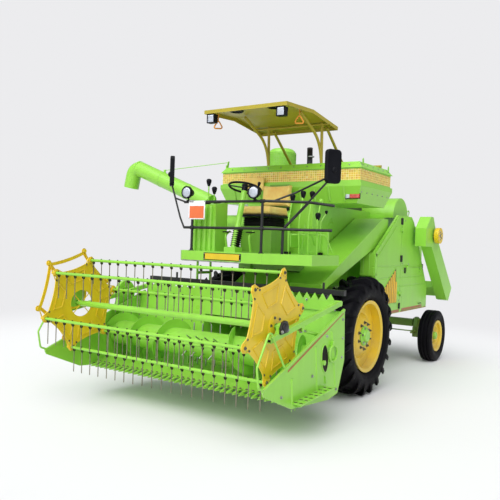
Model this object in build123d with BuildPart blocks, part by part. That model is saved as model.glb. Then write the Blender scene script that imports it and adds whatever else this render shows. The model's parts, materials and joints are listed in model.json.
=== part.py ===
from build123d import *

import math
import os

# Self-propelled combine harvester with a reel header, a roofed platform and a grain tank.
# Lengths are millimetres. +X is forward, +Y is the machine's left, +Z is up.
# Places are measured from the ground under the middle of the front axle.

# Wheels
wheelbase = 3090
front_tyre_d, front_tyre_w, front_rim_d, front_track = 1500, 400, 890, 2000
rear_tyre_d, rear_tyre_w, rear_rim_d, rear_track = 852, 240, 500, 1970
hub_clearance = 0.06
seat_gap = 0.3

# Threshing body, chassis and hood
body_half_width = 630
body_bottom_z, body_shoulder_z, body_top_z = 940, 1350, 2420
body_front_x, body_rear_x = 200, -1640
narrow_left_y = 400
rail_half_gap, rail_w, rail_h = 450, 60, 105
hood_rear_x, hood_low_z = -3480, 1040
sheet = 12

# Grain tank
tank_front_x, tank_rear_x, tank_half_width = 250, -790, 1080
tank_bottom_z, tank_hip_z, tank_ledge_z, tank_band_z, tank_top_z = 2420, 2630, 2690, 2860, 2940
tank_bottom_inset, tank_rim_inset, tank_ledge_out = 80, 60, 22

# Platform
floor_z, floor_thickness, apron_low_z = 1760, 60, 1640
platform_front_x, platform_right_y, platform_left_y = 1500, -700, 470

# Header lift and feeder house
lift_x, lift_z = 420, 1280
feeder_end_r, feeder_half_width, feeder_front_x = 240, 400, 1300
feeder_gap = 15

# Header
header_left_y, header_right_y = 1420, -1480
knife_x, knife_z = 2150, 370
auger_x, auger_z, auger_drum_r, auger_flight_r, auger_pitch = 1760, 700, 150, 250, 420
trough_r = 310
header_back_top = (1360, 1180)
header_beam_h = 80
floor_t = 10

# Reel
reel_x, reel_z, reel_bar_r, reel_plate_y = 2520, 1120, 505, 1300
reel_phase = 104.2
reel_sides = 6
bar_d, bar_clearance = 32, 0.08
tine_len, tine_d, tine_pitch = 255, 7, 132
ring_offset_x, ring_offset_z = 45, 105
ring_gap_y = 70
arm_pivot_x, arm_pivot_z, arm_front_x, arm_front_z = 1340, 1265, 2720, 1020
arm_left_y, arm_right_y = 1370, -1430
arm_size = 50
eccentric_r = 150
reel_shaft_r = 20

# Hydraulic rams
lift_base, lift_eye, lift_ram_y = (140, 600), (1150, 620), 455
ram_pin_r, eye_slack = 18, 12
reel_base, reel_eye = (1800, 980), (2150, 1060)
reel_pin_r, reel_eye_slack = 8, 11


def at(x, z):
    """A point of a side-view profile."""
    return (x, z)


def side_plane(y):
    """Side-view plane whose sketch X is forward and whose sketch Y is up, facing -Y."""
    return Plane(origin=(0, y, 0), x_dir=(1, 0, 0), z_dir=(0, -1, 0))


def side_panel(points, y_low, y_high):
    """A flat-sided solid of a side-view outline between two planes of constant y."""
    with BuildPart() as panel:
        with BuildSketch(side_plane(y_high)):
            with BuildLine():
                Polyline(*points, close=True)
            make_face()
        extrude(amount=y_high - y_low)
    return panel.part


def box_between(low, high):
    """A block by its lowest and highest corners."""
    with BuildPart() as block:
        with BuildSketch(Plane.XY.offset(low[2])):
            with Locations(((low[0] + high[0]) / 2, (low[1] + high[1]) / 2)):
                Rectangle(high[0] - low[0], high[1] - low[1])
        extrude(amount=high[2] - low[2])
    return block.part


def bar(points, size, bend=0, square=False, bore=0):
    """A round or square bar along straight runs, with round bends where one is given."""
    with BuildPart() as run:
        with BuildLine() as route:
            if bend:
                FilletPolyline(*points, radius=bend)
            else:
                Polyline(*points)
        with BuildSketch(Plane(origin=route.line @ 0, z_dir=route.line % 0)):
            if square:
                Rectangle(size, size)
            else:
                Circle(size / 2)
            if bore:
                Circle(bore / 2, mode=Mode.SUBTRACT)
        sweep()
    return run.part


def disc_y(x, z, radius, y_low, y_high, bore=0):
    """A round disc or sleeve about an axis along y."""
    with BuildPart() as disc:
        with BuildSketch(side_plane(y_high)):
            with Locations(at(x, z)):
                Circle(radius)
                if bore:
                    Circle(bore, mode=Mode.SUBTRACT)
        extrude(amount=y_high - y_low)
    return disc.part


def turned(profile, centre_x, centre_z):
    """A solid of revolution about an axis along y, from (radius, y) points."""
    with BuildPart() as solid:
        with BuildSketch(Plane(origin=(centre_x, 0, centre_z), x_dir=(1, 0, 0), z_dir=(0, 0, 1))):
            with BuildLine():
                Polyline(*profile, close=True)
            make_face()
        revolve(axis=Axis((centre_x, 0, centre_z), (0, 1, 0)))
    return solid.part


def joined(*solids):
    """One node of several solids, fused where they touch."""
    with BuildPart() as group:
        for solid in solids:
            add(solid)
    return group.part


def both_sides(solid):
    """A solid and its mirror image on the other side of the machine."""
    return joined(solid, mirror(solid, about=Plane.XZ))


pieces = []


def keep(solid, label):
    """Labels a finished piece and puts it on the list to write."""
    solid.label = label
    pieces.append(solid)
    return solid


# Wheels: tyre and rim of each, turned about the axle


def tyre_profile(diameter, width, rim_d, centre_y, side):
    """Half section of a tyre as (radius, y) points."""
    outer, bead = diameter / 2, rim_d / 2 - 22
    lip = (rim_d / 2 + 12 - bead) / (outer - bead)
    half = (
        # share of height, share of half width
        (0.0, 0.62), (lip, 0.62), (lip + 0.02, 0.80), (0.30, 0.96), (0.60, 1.00), (0.86, 0.93),
        (0.965, 0.76), (1.0, 0.45),
    )
    table = [(height, -across) for height, across in half] + list(reversed(half))
    return [
        (bead + seat_gap + height * (outer - bead - seat_gap), side * centre_y + across * width / 2)
        for height, across in table
    ]


def rim_profile(rim_d, width, centre_y, disc_y0, hub_r, hub_bore, hub_in, hub_out, wall=12):
    """Section of a dished rim as (radius, y) points, for the left side."""
    flange, barrel, half = rim_d / 2, rim_d / 2 - 22, width * 0.36
    outer_y, inner_y = centre_y + half, centre_y - half
    return [
        (hub_bore, hub_in), (hub_r, hub_in), (hub_r, disc_y0 - wall),
        (barrel * 0.55, disc_y0 - wall), (barrel * 0.72, disc_y0 + 40 - wall),
        (barrel - wall, disc_y0 + 40 - wall), (barrel - wall, inner_y), (flange, inner_y - wall),
        (flange, inner_y - 2 * wall), (flange + 8, inner_y - wall), (flange + 8, inner_y + 2),
        (barrel, inner_y + 10), (barrel, outer_y - 10), (flange + 8, outer_y - 2),
        (flange + 8, outer_y + wall), (flange, outer_y + wall), (barrel - wall, outer_y),
        (barrel - wall, disc_y0 + 52), (barrel * 0.70, disc_y0 + 52), (barrel * 0.53, disc_y0),
        (hub_r, disc_y0), (hub_r, hub_out), (0, hub_out), (0, hub_out - 30), (hub_bore, hub_out - 30),
    ]


# name, axle x, tyre diameter, tyre width, rim diameter, track, disc place, hub radius, stub radius
wheel_table = (
    ("front", 0, front_tyre_d, front_tyre_w, front_rim_d, front_track, 985, 105, 45),
    ("rear", -wheelbase, rear_tyre_d, rear_tyre_w, rear_rim_d, rear_track, 985, 62, 25),
)
for name, x, tyre_d, tyre_w, rim_d, track, disc_place, hub_r, stub_r in wheel_table:
    z = tyre_d / 2
    for word, side in (("left", 1), ("right", -1)):
        tyre = turned(tyre_profile(tyre_d, tyre_w, rim_d, track / 2, side), x, z)
        keep(tyre, f"{name}_tyre_{word}")
        profile = rim_profile(
            rim_d, tyre_w, track / 2, disc_place, hub_r, stub_r + hub_clearance,
            disc_place - 110, disc_place + 75,
        )
        rim = turned([(r, side * y) for r, y in profile], x, z)
        keep(rim, f"{name}_wheel_{word}")

# Front axle with its final drives and the stub shafts that carry the wheels
front_axle_z = front_tyre_d / 2
axle_half = joined(
    box_between((-95, 0, front_axle_z - 85), (95, 600, front_axle_z + 85)),
    disc_y(0, front_axle_z, 190, 560, 800),
    disc_y(0, front_axle_z, 95, 800, 985 - 110 - 1),
    disc_y(0, front_axle_z, 45, 800, 985 + 75 - 31),
)
ram_ear_outline = (
    at(-70, 690), at(90, 690), at(lift_base[0] + 40, lift_base[1] + 20),
    at(lift_base[0] + 40, lift_base[1] - 40), at(lift_base[0] - 30, lift_base[1] - 40),
)
ram_ears = [side_panel(ram_ear_outline, y, y + 12) for y in (lift_ram_y - 62, lift_ram_y + 50)]
ram_pin = disc_y(*lift_base, ram_pin_r, lift_ram_y - 62, lift_ram_y + 62)
keep(both_sides(joined(axle_half, *ram_ears, ram_pin)), "front_axle")

# Rear axle beam with king-pin bosses, hung below the rails at its middle
king_y, king_r, king_clear = 720, 22, 0.06
beam_z, beam_size = 610, 120
boss_low, boss_high = 540, 690
rear_beam = joined(
    box_between((-wheelbase - 60, -660, beam_z - 60), (-wheelbase + 60, 660, beam_z + 60)),
    box_between((-wheelbase - 45, -180, beam_z + 60), (-wheelbase + 45, 180, body_bottom_z - rail_h)),
)
with BuildPart() as rear_axle:
    add(rear_beam)
    for side in (1, -1):
        with BuildSketch(Plane.XY.offset(boss_low)):
            with Locations((-wheelbase, side * king_y)):
                Circle(62)
        extrude(amount=boss_high - boss_low)
        with BuildSketch(Plane.XY.offset(boss_low)):
            with Locations((-wheelbase, side * king_y)):
                Circle(king_r + king_clear)
        extrude(amount=boss_high - boss_low, mode=Mode.SUBTRACT)
keep(rear_axle.part, "rear_axle_beam")

# Steering knuckles: king pin, drop leg, spindle and steering arm
arm_reach, tie_z = 240, 470
tie_pin_r = 9
for word, side in (("left", 1), ("right", -1)):
    spindle_z = rear_tyre_d / 2
    knuckle = joined(
        box_between(
            (-wheelbase - 50, min(side * 665, side * 775), spindle_z - 55),
            (-wheelbase + 50, max(side * 665, side * 775), boss_low - 3),
        ),
        disc_y(
            -wheelbase, spindle_z, 42,
            min(side * 775, side * (985 - 111)), max(side * 775, side * (985 - 111)),
        ),
        disc_y(
            -wheelbase, spindle_z, 25,
            min(side * 775, side * (985 + 44)), max(side * 775, side * (985 + 44)),
        ),
        box_between(
            (-wheelbase + 40, side * king_y - 20, tie_z - 16),
            (-wheelbase + arm_reach + 25, side * king_y + 20, tie_z + 10),
        ),
    )
    with BuildPart() as whole_knuckle:
        add(knuckle)
        with BuildSketch(Plane.XY.offset(boss_low - 5)):
            with Locations((-wheelbase, side * king_y)):
                Circle(king_r)
        extrude(amount=boss_high - boss_low + 8)
        with BuildSketch(Plane.XY.offset(boss_high + 3)):
            with Locations((-wheelbase, side * king_y)):
                Circle(40)
        extrude(amount=14)
        with BuildSketch(Plane.XY.offset(tie_z + 10)):
            with Locations((-wheelbase + arm_reach, side * king_y)):
                Circle(tie_pin_r)
        extrude(amount=30)
    keep(whole_knuckle.part, f"steering_knuckle_{word}")

tie_x = -wheelbase + arm_reach
with BuildPart() as tie_rod:
    add(bar(((tie_x, -king_y, tie_z + 25), (tie_x, king_y, tie_z + 25)), 20))
    for side in (1, -1):
        with BuildSketch(Plane.XY.offset(tie_z + 12)):
            with Locations((tie_x, side * king_y)):
                Circle(20)
        extrude(amount=24)
    for side in (1, -1):
        with BuildSketch(Plane.XY.offset(tie_z)):
            with Locations((tie_x, side * king_y)):
                Circle(tie_pin_r + 0.08)
        extrude(amount=50, mode=Mode.SUBTRACT)
keep(tie_rod.part, "tie_rod")

# Chassis: two rails and cross members that the body, axles and guards stand on
rail_low = body_bottom_z - rail_h
rail_y = (rail_half_gap, rail_half_gap + rail_w)
rail = box_between((hood_rear_x + 100, rail_y[0], rail_low), (380, rail_y[1], body_bottom_z))
cross = [
    box_between((x, -rail_y[0], rail_low), (x + 80, rail_y[0], body_bottom_z - 10))
    for x in (hood_rear_x + 100, -wheelbase - 40, -2100, -1100, -40)
]

# Tow hitch at the rear of the chassis: two ears with a pin hole
hitch_x, hitch_z, hitch_r, hitch_gap, hitch_t = -3430, 888, 16, 32, 12
with BuildPart() as hitch:
    for z in (hitch_z - hitch_gap / 2 - hitch_t, hitch_z + hitch_gap / 2):
        add(box_between((hitch_x - 40, -45, z), (hood_rear_x + 101, 45, z + hitch_t)))
    with BuildSketch(Plane.XY.offset(800)):
        with Locations((hitch_x, 0)):
            Circle(hitch_r)
    extrude(amount=200, mode=Mode.SUBTRACT)

# Threshing body: full width below, narrower on the left above, with a round seat for the feeder


def polar(radius, angle):
    """A point of the lift circle in side view."""
    turn = math.radians(angle)
    return (lift_x + radius * math.cos(turn), lift_z + radius * math.sin(turn))


seat_r = feeder_end_r + feeder_gap
lip_low, lip_high = polar(seat_r, 235), polar(seat_r, 100)
lift_plate = (
    at(100, 1150), at(100, 1650), at(370, 1650), at(500, 1350), at(480, 1230), at(390, 1200),
)
plate_in, lift_shaft_r = feeder_half_width + 6, 30
nose_z, nose_x = floor_z - floor_thickness - seat_gap, 60
with BuildPart() as thresher:
    add(
        side_panel(
            (
                lip_low, at(150, body_bottom_z), at(-2300, body_bottom_z), at(-2300, body_shoulder_z),
                at(nose_x, body_shoulder_z), at(nose_x, nose_z), at(lip_high[0], nose_z), lip_high,
            ),
            -body_half_width, body_half_width,
        )
    )
    add(
        box_between((-200, narrow_left_y, body_shoulder_z), (500, 900, 2000)),
        mode=Mode.SUBTRACT,
    )
    add(
        box_between(
            (body_rear_x, -body_half_width, body_shoulder_z), (body_front_x, narrow_left_y, body_top_z)
        )
    )
    add(disc_y(lift_x, lift_z, seat_r, -700, 700), mode=Mode.SUBTRACT)
    add(both_sides(side_panel(lift_plate, plate_in, plate_in + 12)))
    add(
        disc_y(lift_x, lift_z, lift_shaft_r + hub_clearance, -450, 450),
        mode=Mode.SUBTRACT,
    )
keep(thresher.part, "thresher_body")

# Straw hood: open at the rear bottom, with a half-round cover across its front top
hood_front_x = body_rear_x
dome_x, dome_z, dome_r = -2010, 2340, 320
hood_outline = [
    at(hood_front_x, body_shoulder_z), at(hood_front_x, dome_z), at(-2330, dome_z),
    at(-3250, 2250), at(hood_rear_x, 1900), at(hood_rear_x, hood_low_z),
    at(-2300, hood_low_z), at(-2300, body_shoulder_z),
]
inner_outline = [
    at(hood_front_x - sheet, body_shoulder_z + sheet), at(hood_front_x - sheet, dome_z - sheet),
    at(-2330, dome_z - sheet), at(-3245, 2250 - sheet), at(hood_rear_x + sheet, 1895),
    at(hood_rear_x + sheet, 900), at(-2300 - sheet, 900), at(-2300 - sheet, body_shoulder_z + sheet),
]
with BuildPart() as hood:
    add(side_panel(hood_outline, -body_half_width, body_half_width))
    add(
        side_panel(inner_outline, -body_half_width + sheet, body_half_width - sheet),
        mode=Mode.SUBTRACT,
    )
    add(
        box_between(
            (hood_rear_x - 20, -body_half_width + sheet, 900),
            (hood_rear_x + 40, body_half_width - sheet, 1500),
        ),
        mode=Mode.SUBTRACT,
    )
    with BuildSketch(side_plane(760)):
        with BuildLine():
            ThreePointArc(
                at(dome_x + dome_r, dome_z),
                at(dome_x, dome_z + dome_r),
                at(dome_x - dome_r, dome_z),
            )
            Line(at(dome_x - dome_r, dome_z), at(dome_x + dome_r, dome_z))
        make_face()
    extrude(amount=1520)
keep(hood.part, "straw_hood")

# Straw walkers: four stepped racks side by side, seen through the outlet
walker_step, walker_w = 200, 270
walkers = []
for k in range(4):
    y = -1.5 * (walker_w + 30) + k * (walker_w + 30)
    points = [at(-3380, 1480)]
    for step in range(5):
        x = -3380 + step * walker_step
        points += [at(x, 1560 + 12 * step), at(x + walker_step, 1530 + 12 * step)]
    points += [at(-3380 + 5 * walker_step, 1480)]
    walkers.append(side_panel(points, y - walker_w / 2, y + walker_w / 2))
cranks = [disc_y(x, 1500, 18, -body_half_width + sheet, body_half_width - sheet) for x in (-3300, -2450)]
keep(joined(*walkers, *cranks), "straw_walkers")

# Engine on the deck behind the tank, with its air box, domed air screen and exhaust
engine_front_x, engine_rear_x = -870, -1560
with BuildPart() as engine:
    add(box_between((engine_rear_x, -480, body_top_z), (engine_front_x, 300, 2860)))
    add(box_between((engine_rear_x + 60, -300, 2860), (engine_front_x - 60, 140, 3020)))
keep(engine.part, "engine_block")

air_box = box_between((-1400, -1180, body_top_z), (-930, -520, 2960))
screen_x, screen_y, screen_r = -1165, -930, 220
with BuildPart() as air_screen:
    with BuildSketch(Plane.XY.offset(2960)):
        with Locations((screen_x, screen_y)):
            Circle(screen_r)
    extrude(amount=440)
    fillet(air_screen.edges().group_by(Axis.Z)[-1], 95)
keep(joined(air_box, air_screen.part), "cooling_housing")

with BuildPart() as exhaust:
    add(bar(((-1480, -600, body_top_z), (-1480, -600, 3250), (-1400, -560, 3430)), 90, bend=120))
    with BuildSketch(Plane.XY.offset(2700)):
        with Locations((-1480, -600)):
            Circle(75)
    extrude(amount=420)
keep(exhaust.part, "exhaust_pipe")

# Grain tank: hollow, open above, its rim drawn in and its band proud of the walls
tank_mid_x = (tank_front_x + tank_rear_x) / 2
tank_len = tank_front_x - tank_rear_x


def tank_stage(z_low, inset_low, z_high, inset_high, shrink):
    """One ruled stage of the tank between two level rectangles."""
    with BuildPart() as stage:
        for z, inset in ((z_low, inset_low), (z_high, inset_high)):
            with BuildSketch(Plane.XY.offset(z)):
                with Locations((tank_mid_x, 0)):
                    Rectangle(
                        tank_len - 2 * (inset + shrink), 2 * (tank_half_width - inset - shrink)
                    )
        loft(ruled=True)
    return stage.part


# low height, low inset, high height, high inset
tank_stages = (
    (tank_bottom_z, tank_bottom_inset, tank_hip_z, 0),
    (tank_hip_z, 0, tank_ledge_z, 0),
    (tank_ledge_z, tank_ledge_out, tank_band_z, tank_ledge_out),
    (tank_band_z, 0, tank_top_z, tank_rim_inset),
)
with BuildPart() as tank:
    for low, low_inset, high, high_inset in tank_stages:
        add(tank_stage(low, low_inset, high, high_inset, 0))
    add(
        tank_stage(tank_bottom_z + sheet, tank_bottom_inset, tank_hip_z, 0, sheet + 2),
        mode=Mode.SUBTRACT,
    )
    add(
        tank_stage(tank_hip_z, tank_ledge_out, tank_band_z, tank_ledge_out, sheet),
        mode=Mode.SUBTRACT,
    )
    add(
        tank_stage(tank_band_z, tank_ledge_out, tank_top_z + 1, tank_rim_inset + 20, sheet),
        mode=Mode.SUBTRACT,
    )
# The filling auger stands inside the tank, from its floor to under its rim
filling = bar(
    ((-560, -600, tank_bottom_z + sheet - 5), (-560, -600, 2560), (-300, -120, 2900)),
    150,
    bend=90,
)
keep(joined(tank.part, filling), "grain_tank")

# Grain elevator on the right, from the cleaning shoe to the tank floor
elevator_y = (-785, -body_half_width - seat_gap)
elevator = joined(
    box_between((-720, elevator_y[0], 760), (-450, elevator_y[1], tank_bottom_z - seat_gap)),
    disc_y(-585, 850, 165, elevator_y[0], elevator_y[1]),
)

# Unloading auger: fixed stub with turret, and the swinging tube with its spout and stay
turret_x, turret_y, turret_z = -20, -1450, 2290
unload_d = 240
unload_rise = 20.8
with BuildPart() as boot:
    add(disc_y(turret_x, turret_z - 120, 105, turret_y, -body_half_width - seat_gap))
    with BuildSketch(Plane.XY.offset(2060)):
        with Locations((turret_x, turret_y)):
            Circle(150)
    extrude(amount=turret_z - 2060)

rise = math.tan(math.radians(unload_rise))


def tube_z(y):
    """Height of the swinging tube's middle line at a place across the machine."""
    return turret_z + 170 + (turret_y - y) * rise


elbow_y = -3040
elbow = (turret_x, elbow_y, tube_z(elbow_y))
spout_end = (turret_x, -3120, 2720)
spout_dir = (Vector(*spout_end) - Vector(*elbow)).normalized()
with BuildPart() as unloader:
    with BuildSketch(Plane.XY.offset(turret_z + 0.5)):
        with Locations((turret_x, turret_y)):
            Circle(150)
    extrude(amount=170)
    add(
        bar(
            ((turret_x, turret_y, tube_z(turret_y)), elbow, spout_end),
            unload_d,
            bend=130,
        )
    )
    with BuildSketch(Plane.XY.offset(turret_z + 150)):
        with Locations((turret_x, turret_y)):
            Circle(150)
    extrude(amount=40)
    add(
        bar((Vector(*spout_end) - spout_dir * 160, Vector(*spout_end) + spout_dir * 5), unload_d - 16),
        mode=Mode.SUBTRACT,
    )

stay_y = -2380
stay_low = (turret_x + 10, stay_y, tube_z(stay_y) + 165)
stay_high = (180, -1000, tank_top_z + 75)
with BuildPart() as stay:
    add(bar((stay_low, stay_high), 10))
    add(
        box_between(
            (stay_low[0] - 6, stay_y - 25, tube_z(stay_y) + 110),
            (stay_low[0] + 6, stay_y + 15, stay_low[2] + 12),
        )
    )
keep(joined(unloader.part, stay.part), "unloading_auger")

# Platform: floor, apron and skirts
floor_outline = (
    (body_front_x, platform_right_y - 80), (platform_front_x - 80, platform_right_y - 80),
    (platform_front_x, platform_right_y), (platform_front_x, platform_left_y),
    (1200, 950), (520, 950), (520, narrow_left_y), (body_front_x, narrow_left_y),
)
with BuildPart() as platform:
    with BuildSketch(Plane.XY.offset(floor_z - floor_thickness)):
        with BuildLine():
            Polyline(*floor_outline, close=True)
        make_face()
    extrude(amount=floor_thickness)
    with BuildSketch(Plane.XY.offset(apron_low_z)) as skirt:
        with BuildLine():
            Polyline(*floor_outline, close=True)
        make_face()
        offset(amount=-20, kind=Kind.INTERSECTION, mode=Mode.SUBTRACT)
    extrude(amount=floor_z - floor_thickness - apron_low_z)
    add(
        box_between((0, -1000, apron_low_z), (lip_high[0] + seat_gap, 1000, floor_z - floor_thickness)),
        mode=Mode.SUBTRACT,
    )
    for y in (-560, 300):
        add(
            box_between(
                (lip_high[0] + seat_gap, y, apron_low_z),
                (1420, y + 60, floor_z - floor_thickness),
            )
        )

# Control console at the right of the seat
console_outline = (at(1080, floor_z), at(1320, floor_z), at(1320, 2330), at(1080, 2370))
console = side_panel(console_outline, -690, -330)

# Rails, mirror arms and lamp brackets: black tube
rail_d = 32
rail_z, mid_rail_z = 2350, 2040
front_x = platform_front_x - 30
left_x, left_y = 1230, 900
rails = joined(
    bar(((front_x, -570, floor_z), (front_x, -570, rail_z)), rail_d),
    bar(((front_x, 440, floor_z), (front_x, 440, rail_z)), rail_d),
    bar(
        ((front_x - 130, 640, floor_z), (front_x - 130, 640, mid_rail_z), (left_x, left_y, rail_z)),
        rail_d,
        bend=120,
    ),
    bar(
        (
            (front_x, -700, rail_z),
            (front_x, 500, rail_z),
            (left_x, left_y, rail_z),
            (left_x - 30, 1200, rail_z - 40),
        ),
        rail_d,
        bend=60,
    ),
    bar(
        (
            (front_x, -700, mid_rail_z),
            (front_x, 500, mid_rail_z),
            (left_x, left_y, mid_rail_z),
            (left_x - 30, 1180, mid_rail_z),
        ),
        rail_d,
        bend=60,
    ),
)
arms = joined(
    bar(
        (
            (front_x, -700, mid_rail_z),
            (front_x + 5, -760, mid_rail_z + 120),
            (front_x + 10, -899, 2545.5),
        ),
        22,
        bend=40,
    ),
    bar(((front_x, -680, rail_z), (front_x + 8, -845, 2400)), 22),
    bar(((front_x - 36, 560, rail_z), (left_x + 60, 780, 2460), (left_x + 75, 1170, 2615)), 22, bend=60),
    bar(((1290, 757, 2180), (left_x + 50, 1180, 2600)), 22),
)

# Mirrors on their arms, turned towards the driver: place and the way each back faces
mirrors = []
mirror_back = 50
for place, facing in (
    ((front_x + 10, -915, 2735), (0.67, -0.74, 0)),
    ((left_x + 20, 1195, 2735), (0.485, 0.874, 0)),
):
    middle = Vector(*place) - Vector(*facing).normalized() * mirror_back / 2
    with BuildPart() as mirror_head:
        with BuildSketch(Plane(origin=middle, x_dir=(-facing[1], facing[0], 0), z_dir=facing)):
            RectangleRounded(190, 370, 45)
        extrude(amount=mirror_back)
        outer = mirror_head.faces().sort_by(Axis(middle, facing))[-1]
        fillet(outer.edges(), 15)
    mirrors.append(mirror_head.part)
keep(joined(rails, arms) - joined(*mirrors), "hand_rails")

lamps = []
for y, z in ((-640, 2465), (340, 2450)):
    with BuildPart() as lamp:
        with BuildSketch(Plane(origin=(front_x - 60, y, z), x_dir=(0, 1, 0), z_dir=(1, 0, 0))):
            Circle(38)
        with BuildSketch(Plane(origin=(front_x + 20, y, z), x_dir=(0, 1, 0), z_dir=(1, 0, 0))):
            Circle(74)
        loft(ruled=True)
        with BuildSketch(Plane(origin=(front_x + 20, y, z), x_dir=(0, 1, 0), z_dir=(1, 0, 0))):
            Circle(76)
        extrude(amount=22)
        add(bar(((front_x, y, z - 60), (front_x, y, rail_z + 20)), 18))
        add(box_between((front_x - 20, y - 15, rail_z - 4), (front_x + 20, y + 15, rail_z + 24)))
        add(disc_y(front_x, rail_z, rail_d / 2 + 0.05, y - 20, y + 20), mode=Mode.SUBTRACT)
    lamps.append(lamp.part)

# Steering column and wheel
wheel_centre = (1150, -30, 2540)
wheel_tilt = 15
wheel_dir = Vector(-math.sin(math.radians(wheel_tilt)), 0, math.cos(math.radians(wheel_tilt)))
wheel_plane = Plane(origin=wheel_centre, x_dir=(0, 1, 0), z_dir=wheel_dir)
column_len = (wheel_centre[2] - 40 - floor_z) / wheel_dir.Z
column_top = Vector(*wheel_centre) - wheel_dir * 42
column_foot = Vector(*wheel_centre) - wheel_dir * (column_len + 41)
with BuildPart() as column:
    add(bar((column_foot, column_top), 70))
    add(bar((column_top, Vector(*wheel_centre) + wheel_dir * 5), 24))
    add(box_between((1290, -110, floor_z), (1430, 50, floor_z + 60)))
    add(box_between((1000, -200, floor_z - 100), (1600, 200, floor_z)), mode=Mode.SUBTRACT)
keep(column.part, "steering_column")
rim_r, rim_tube = 195, 26
with BuildPart() as steering_wheel:
    with BuildSketch(Plane(origin=wheel_centre, x_dir=wheel_plane.x_dir, z_dir=wheel_plane.y_dir)):
        with Locations((rim_r, 0)):
            Circle(rim_tube / 2)
    revolve(axis=Axis(wheel_centre, wheel_dir))
    with BuildSketch(wheel_plane.offset(-40)):
        Circle(36)
    extrude(amount=60)
    for k in range(3):
        with BuildSketch(wheel_plane.offset(-5)):
            with Locations(Rot(0, 0, 90 + 120 * k) * Pos(rim_r / 2, 0)):
                Rectangle(rim_r - 8, 26)
        extrude(amount=10)
    with BuildSketch(wheel_plane.offset(-41)):
        Circle(12.06)
    extrude(amount=46.2, mode=Mode.SUBTRACT)
keep(steering_wheel.part, "steering_wheel")

# Seat: spring box with its back board, cushion and backrest
seat_y = -70
cushion_half, backrest_half = 255, 235
seat_base = joined(
    box_between((420, seat_y - 230, floor_z), (820, seat_y + 230, 2090)),
    side_panel((at(480, 2090), at(780, 2090), at(830, 2235), at(430, 2235)), seat_y - 170, seat_y + 170),
    side_panel(
        (
            at(470, 2180), at(399, 2235), at(299.7, 2345), at(286.7, 2665), at(262, 2665), at(272, 2330),
            at(380, 2200), at(440, 2150),
        ),
        seat_y - 150, seat_y + 150,
    ),
)
keep(seat_base, "seat_base")
keep(box_between((400, seat_y - cushion_half, 2235.3), (900, seat_y + cushion_half, 2345)), "seat_cushion")
backrest_outline = (at(300, 2350), at(410, 2350), at(375, 2660), at(287.4, 2660))
keep(side_panel(backrest_outline, seat_y - backrest_half, seat_y + backrest_half), "seat_backrest")

# Levers and pedals
levers = []
for x, y, top in (
    (1000, 520, 2430), (960, 640, 2470), (900, 730, 2470), (850, 820, 2400),
):
    levers.append(bar(((x, y, floor_z + 1), (x + 20, y, 2150), (x - 60, y, top)), 18, bend=90))
    with BuildPart() as knob:
        with Locations((x - 60, y, top)):
            Sphere(28)
    levers.append(knob.part)
for y in (-190, 150):
    levers.append(bar(((1250, y, floor_z + 3.3), (1300, y, 1960), (1210, y, 2010)), 24, bend=60))
for x, y, top in ((1180, -560, 2620), (1180, -470, 2520)):
    levers.append(bar(((x, y, 2355), (x, y, top)), 16))
    with BuildPart() as knob:
        with Locations((x, y, top)):
            Sphere(26)
    levers.append(knob.part)
keep(joined(*levers), "control_levers")

# Canopy: folded roof sheet with turned-down edges on curved and raked posts
roof_right_y, roof_left_y = -600, 590
roof_rear_x, roof_bend_x, roof_front_x = -50, 630, 1270
roof_rear_z, roof_bend_z, roof_front_z = 3440, 3530, 3500
roof_edge, roof_sheet = 45, 8


def roof_outline(drop, inset):
    """Side view of the roof: its top line, lowered and drawn in by a sheet."""
    return [
        at(roof_rear_x + inset, roof_rear_z - roof_edge - 1), at(roof_rear_x + inset, roof_rear_z - drop),
        at(roof_bend_x, roof_bend_z - drop), at(roof_front_x - inset, roof_front_z - drop),
        at(roof_front_x - inset, roof_front_z - roof_edge - 1),
    ]


with BuildPart() as roof:
    add(
        side_panel(
            [
                at(roof_rear_x, roof_rear_z - roof_edge), at(roof_rear_x, roof_rear_z),
                at(roof_bend_x, roof_bend_z), at(roof_front_x, roof_front_z),
                at(roof_front_x, roof_front_z - roof_edge), at(roof_bend_x, roof_bend_z - roof_edge),
            ],
            roof_right_y, roof_left_y,
        )
    )
    add(
        side_panel(
            [
                at(roof_rear_x + roof_sheet, roof_rear_z - roof_edge - 20),
                at(roof_rear_x + roof_sheet, roof_rear_z - roof_sheet),
                at(roof_bend_x, roof_bend_z - roof_sheet),
                at(roof_front_x - roof_sheet, roof_front_z - roof_sheet),
                at(roof_front_x - roof_sheet, roof_front_z - roof_edge - 20),
                at(roof_bend_x, roof_bend_z - roof_edge - 20),
            ],
            roof_right_y + roof_sheet, roof_left_y - roof_sheet,
        ),
        mode=Mode.SUBTRACT,
    )
keep(roof.part, "canopy_roof")

post_d = 38
post_sides = []
for y in (-330, 480):
    under = roof_bend_z - roof_sheet - 22
    post_sides.append(
        joined(
            bar(
                (
                    (tank_front_x - 78, y, tank_top_z + 4.8),
                    (tank_front_x - 10, y, 3230),
                    (760, y, under - 12),
                ),
                post_d,
                bend=420,
            ),
            bar(((tank_front_x - 78, y, tank_top_z + 1), (tank_front_x - 60, y, roof_rear_z + 19)), post_d),
            bar(((-520, y, tank_top_z + 20), (60, y, roof_rear_z - 20)), post_d),
        )
    )
cross_tube = bar(((190, roof_right_y + 20, 3437), (190, roof_left_y - 20, 3437)), 30)
rim_half = tank_half_width - tank_rim_inset
tank_tube = disc_y(-520, tank_top_z + 20 + seat_gap, 20, -rim_half, rim_half)
keep(joined(*post_sides, cross_tube, tank_tube), "canopy_posts")

work_lamps = []
for y in (roof_right_y + 90, roof_left_y - 90):
    work_lamps.append(box_between((1180, y - 55, 3345), (1250, y + 55, 3450)))
    work_lamps.append(bar(((1215, y, 3448), (1215, y, 3493.6)), 20))
keep(joined(*mirrors, *lamps, *work_lamps), "lamps_and_mirrors")

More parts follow.
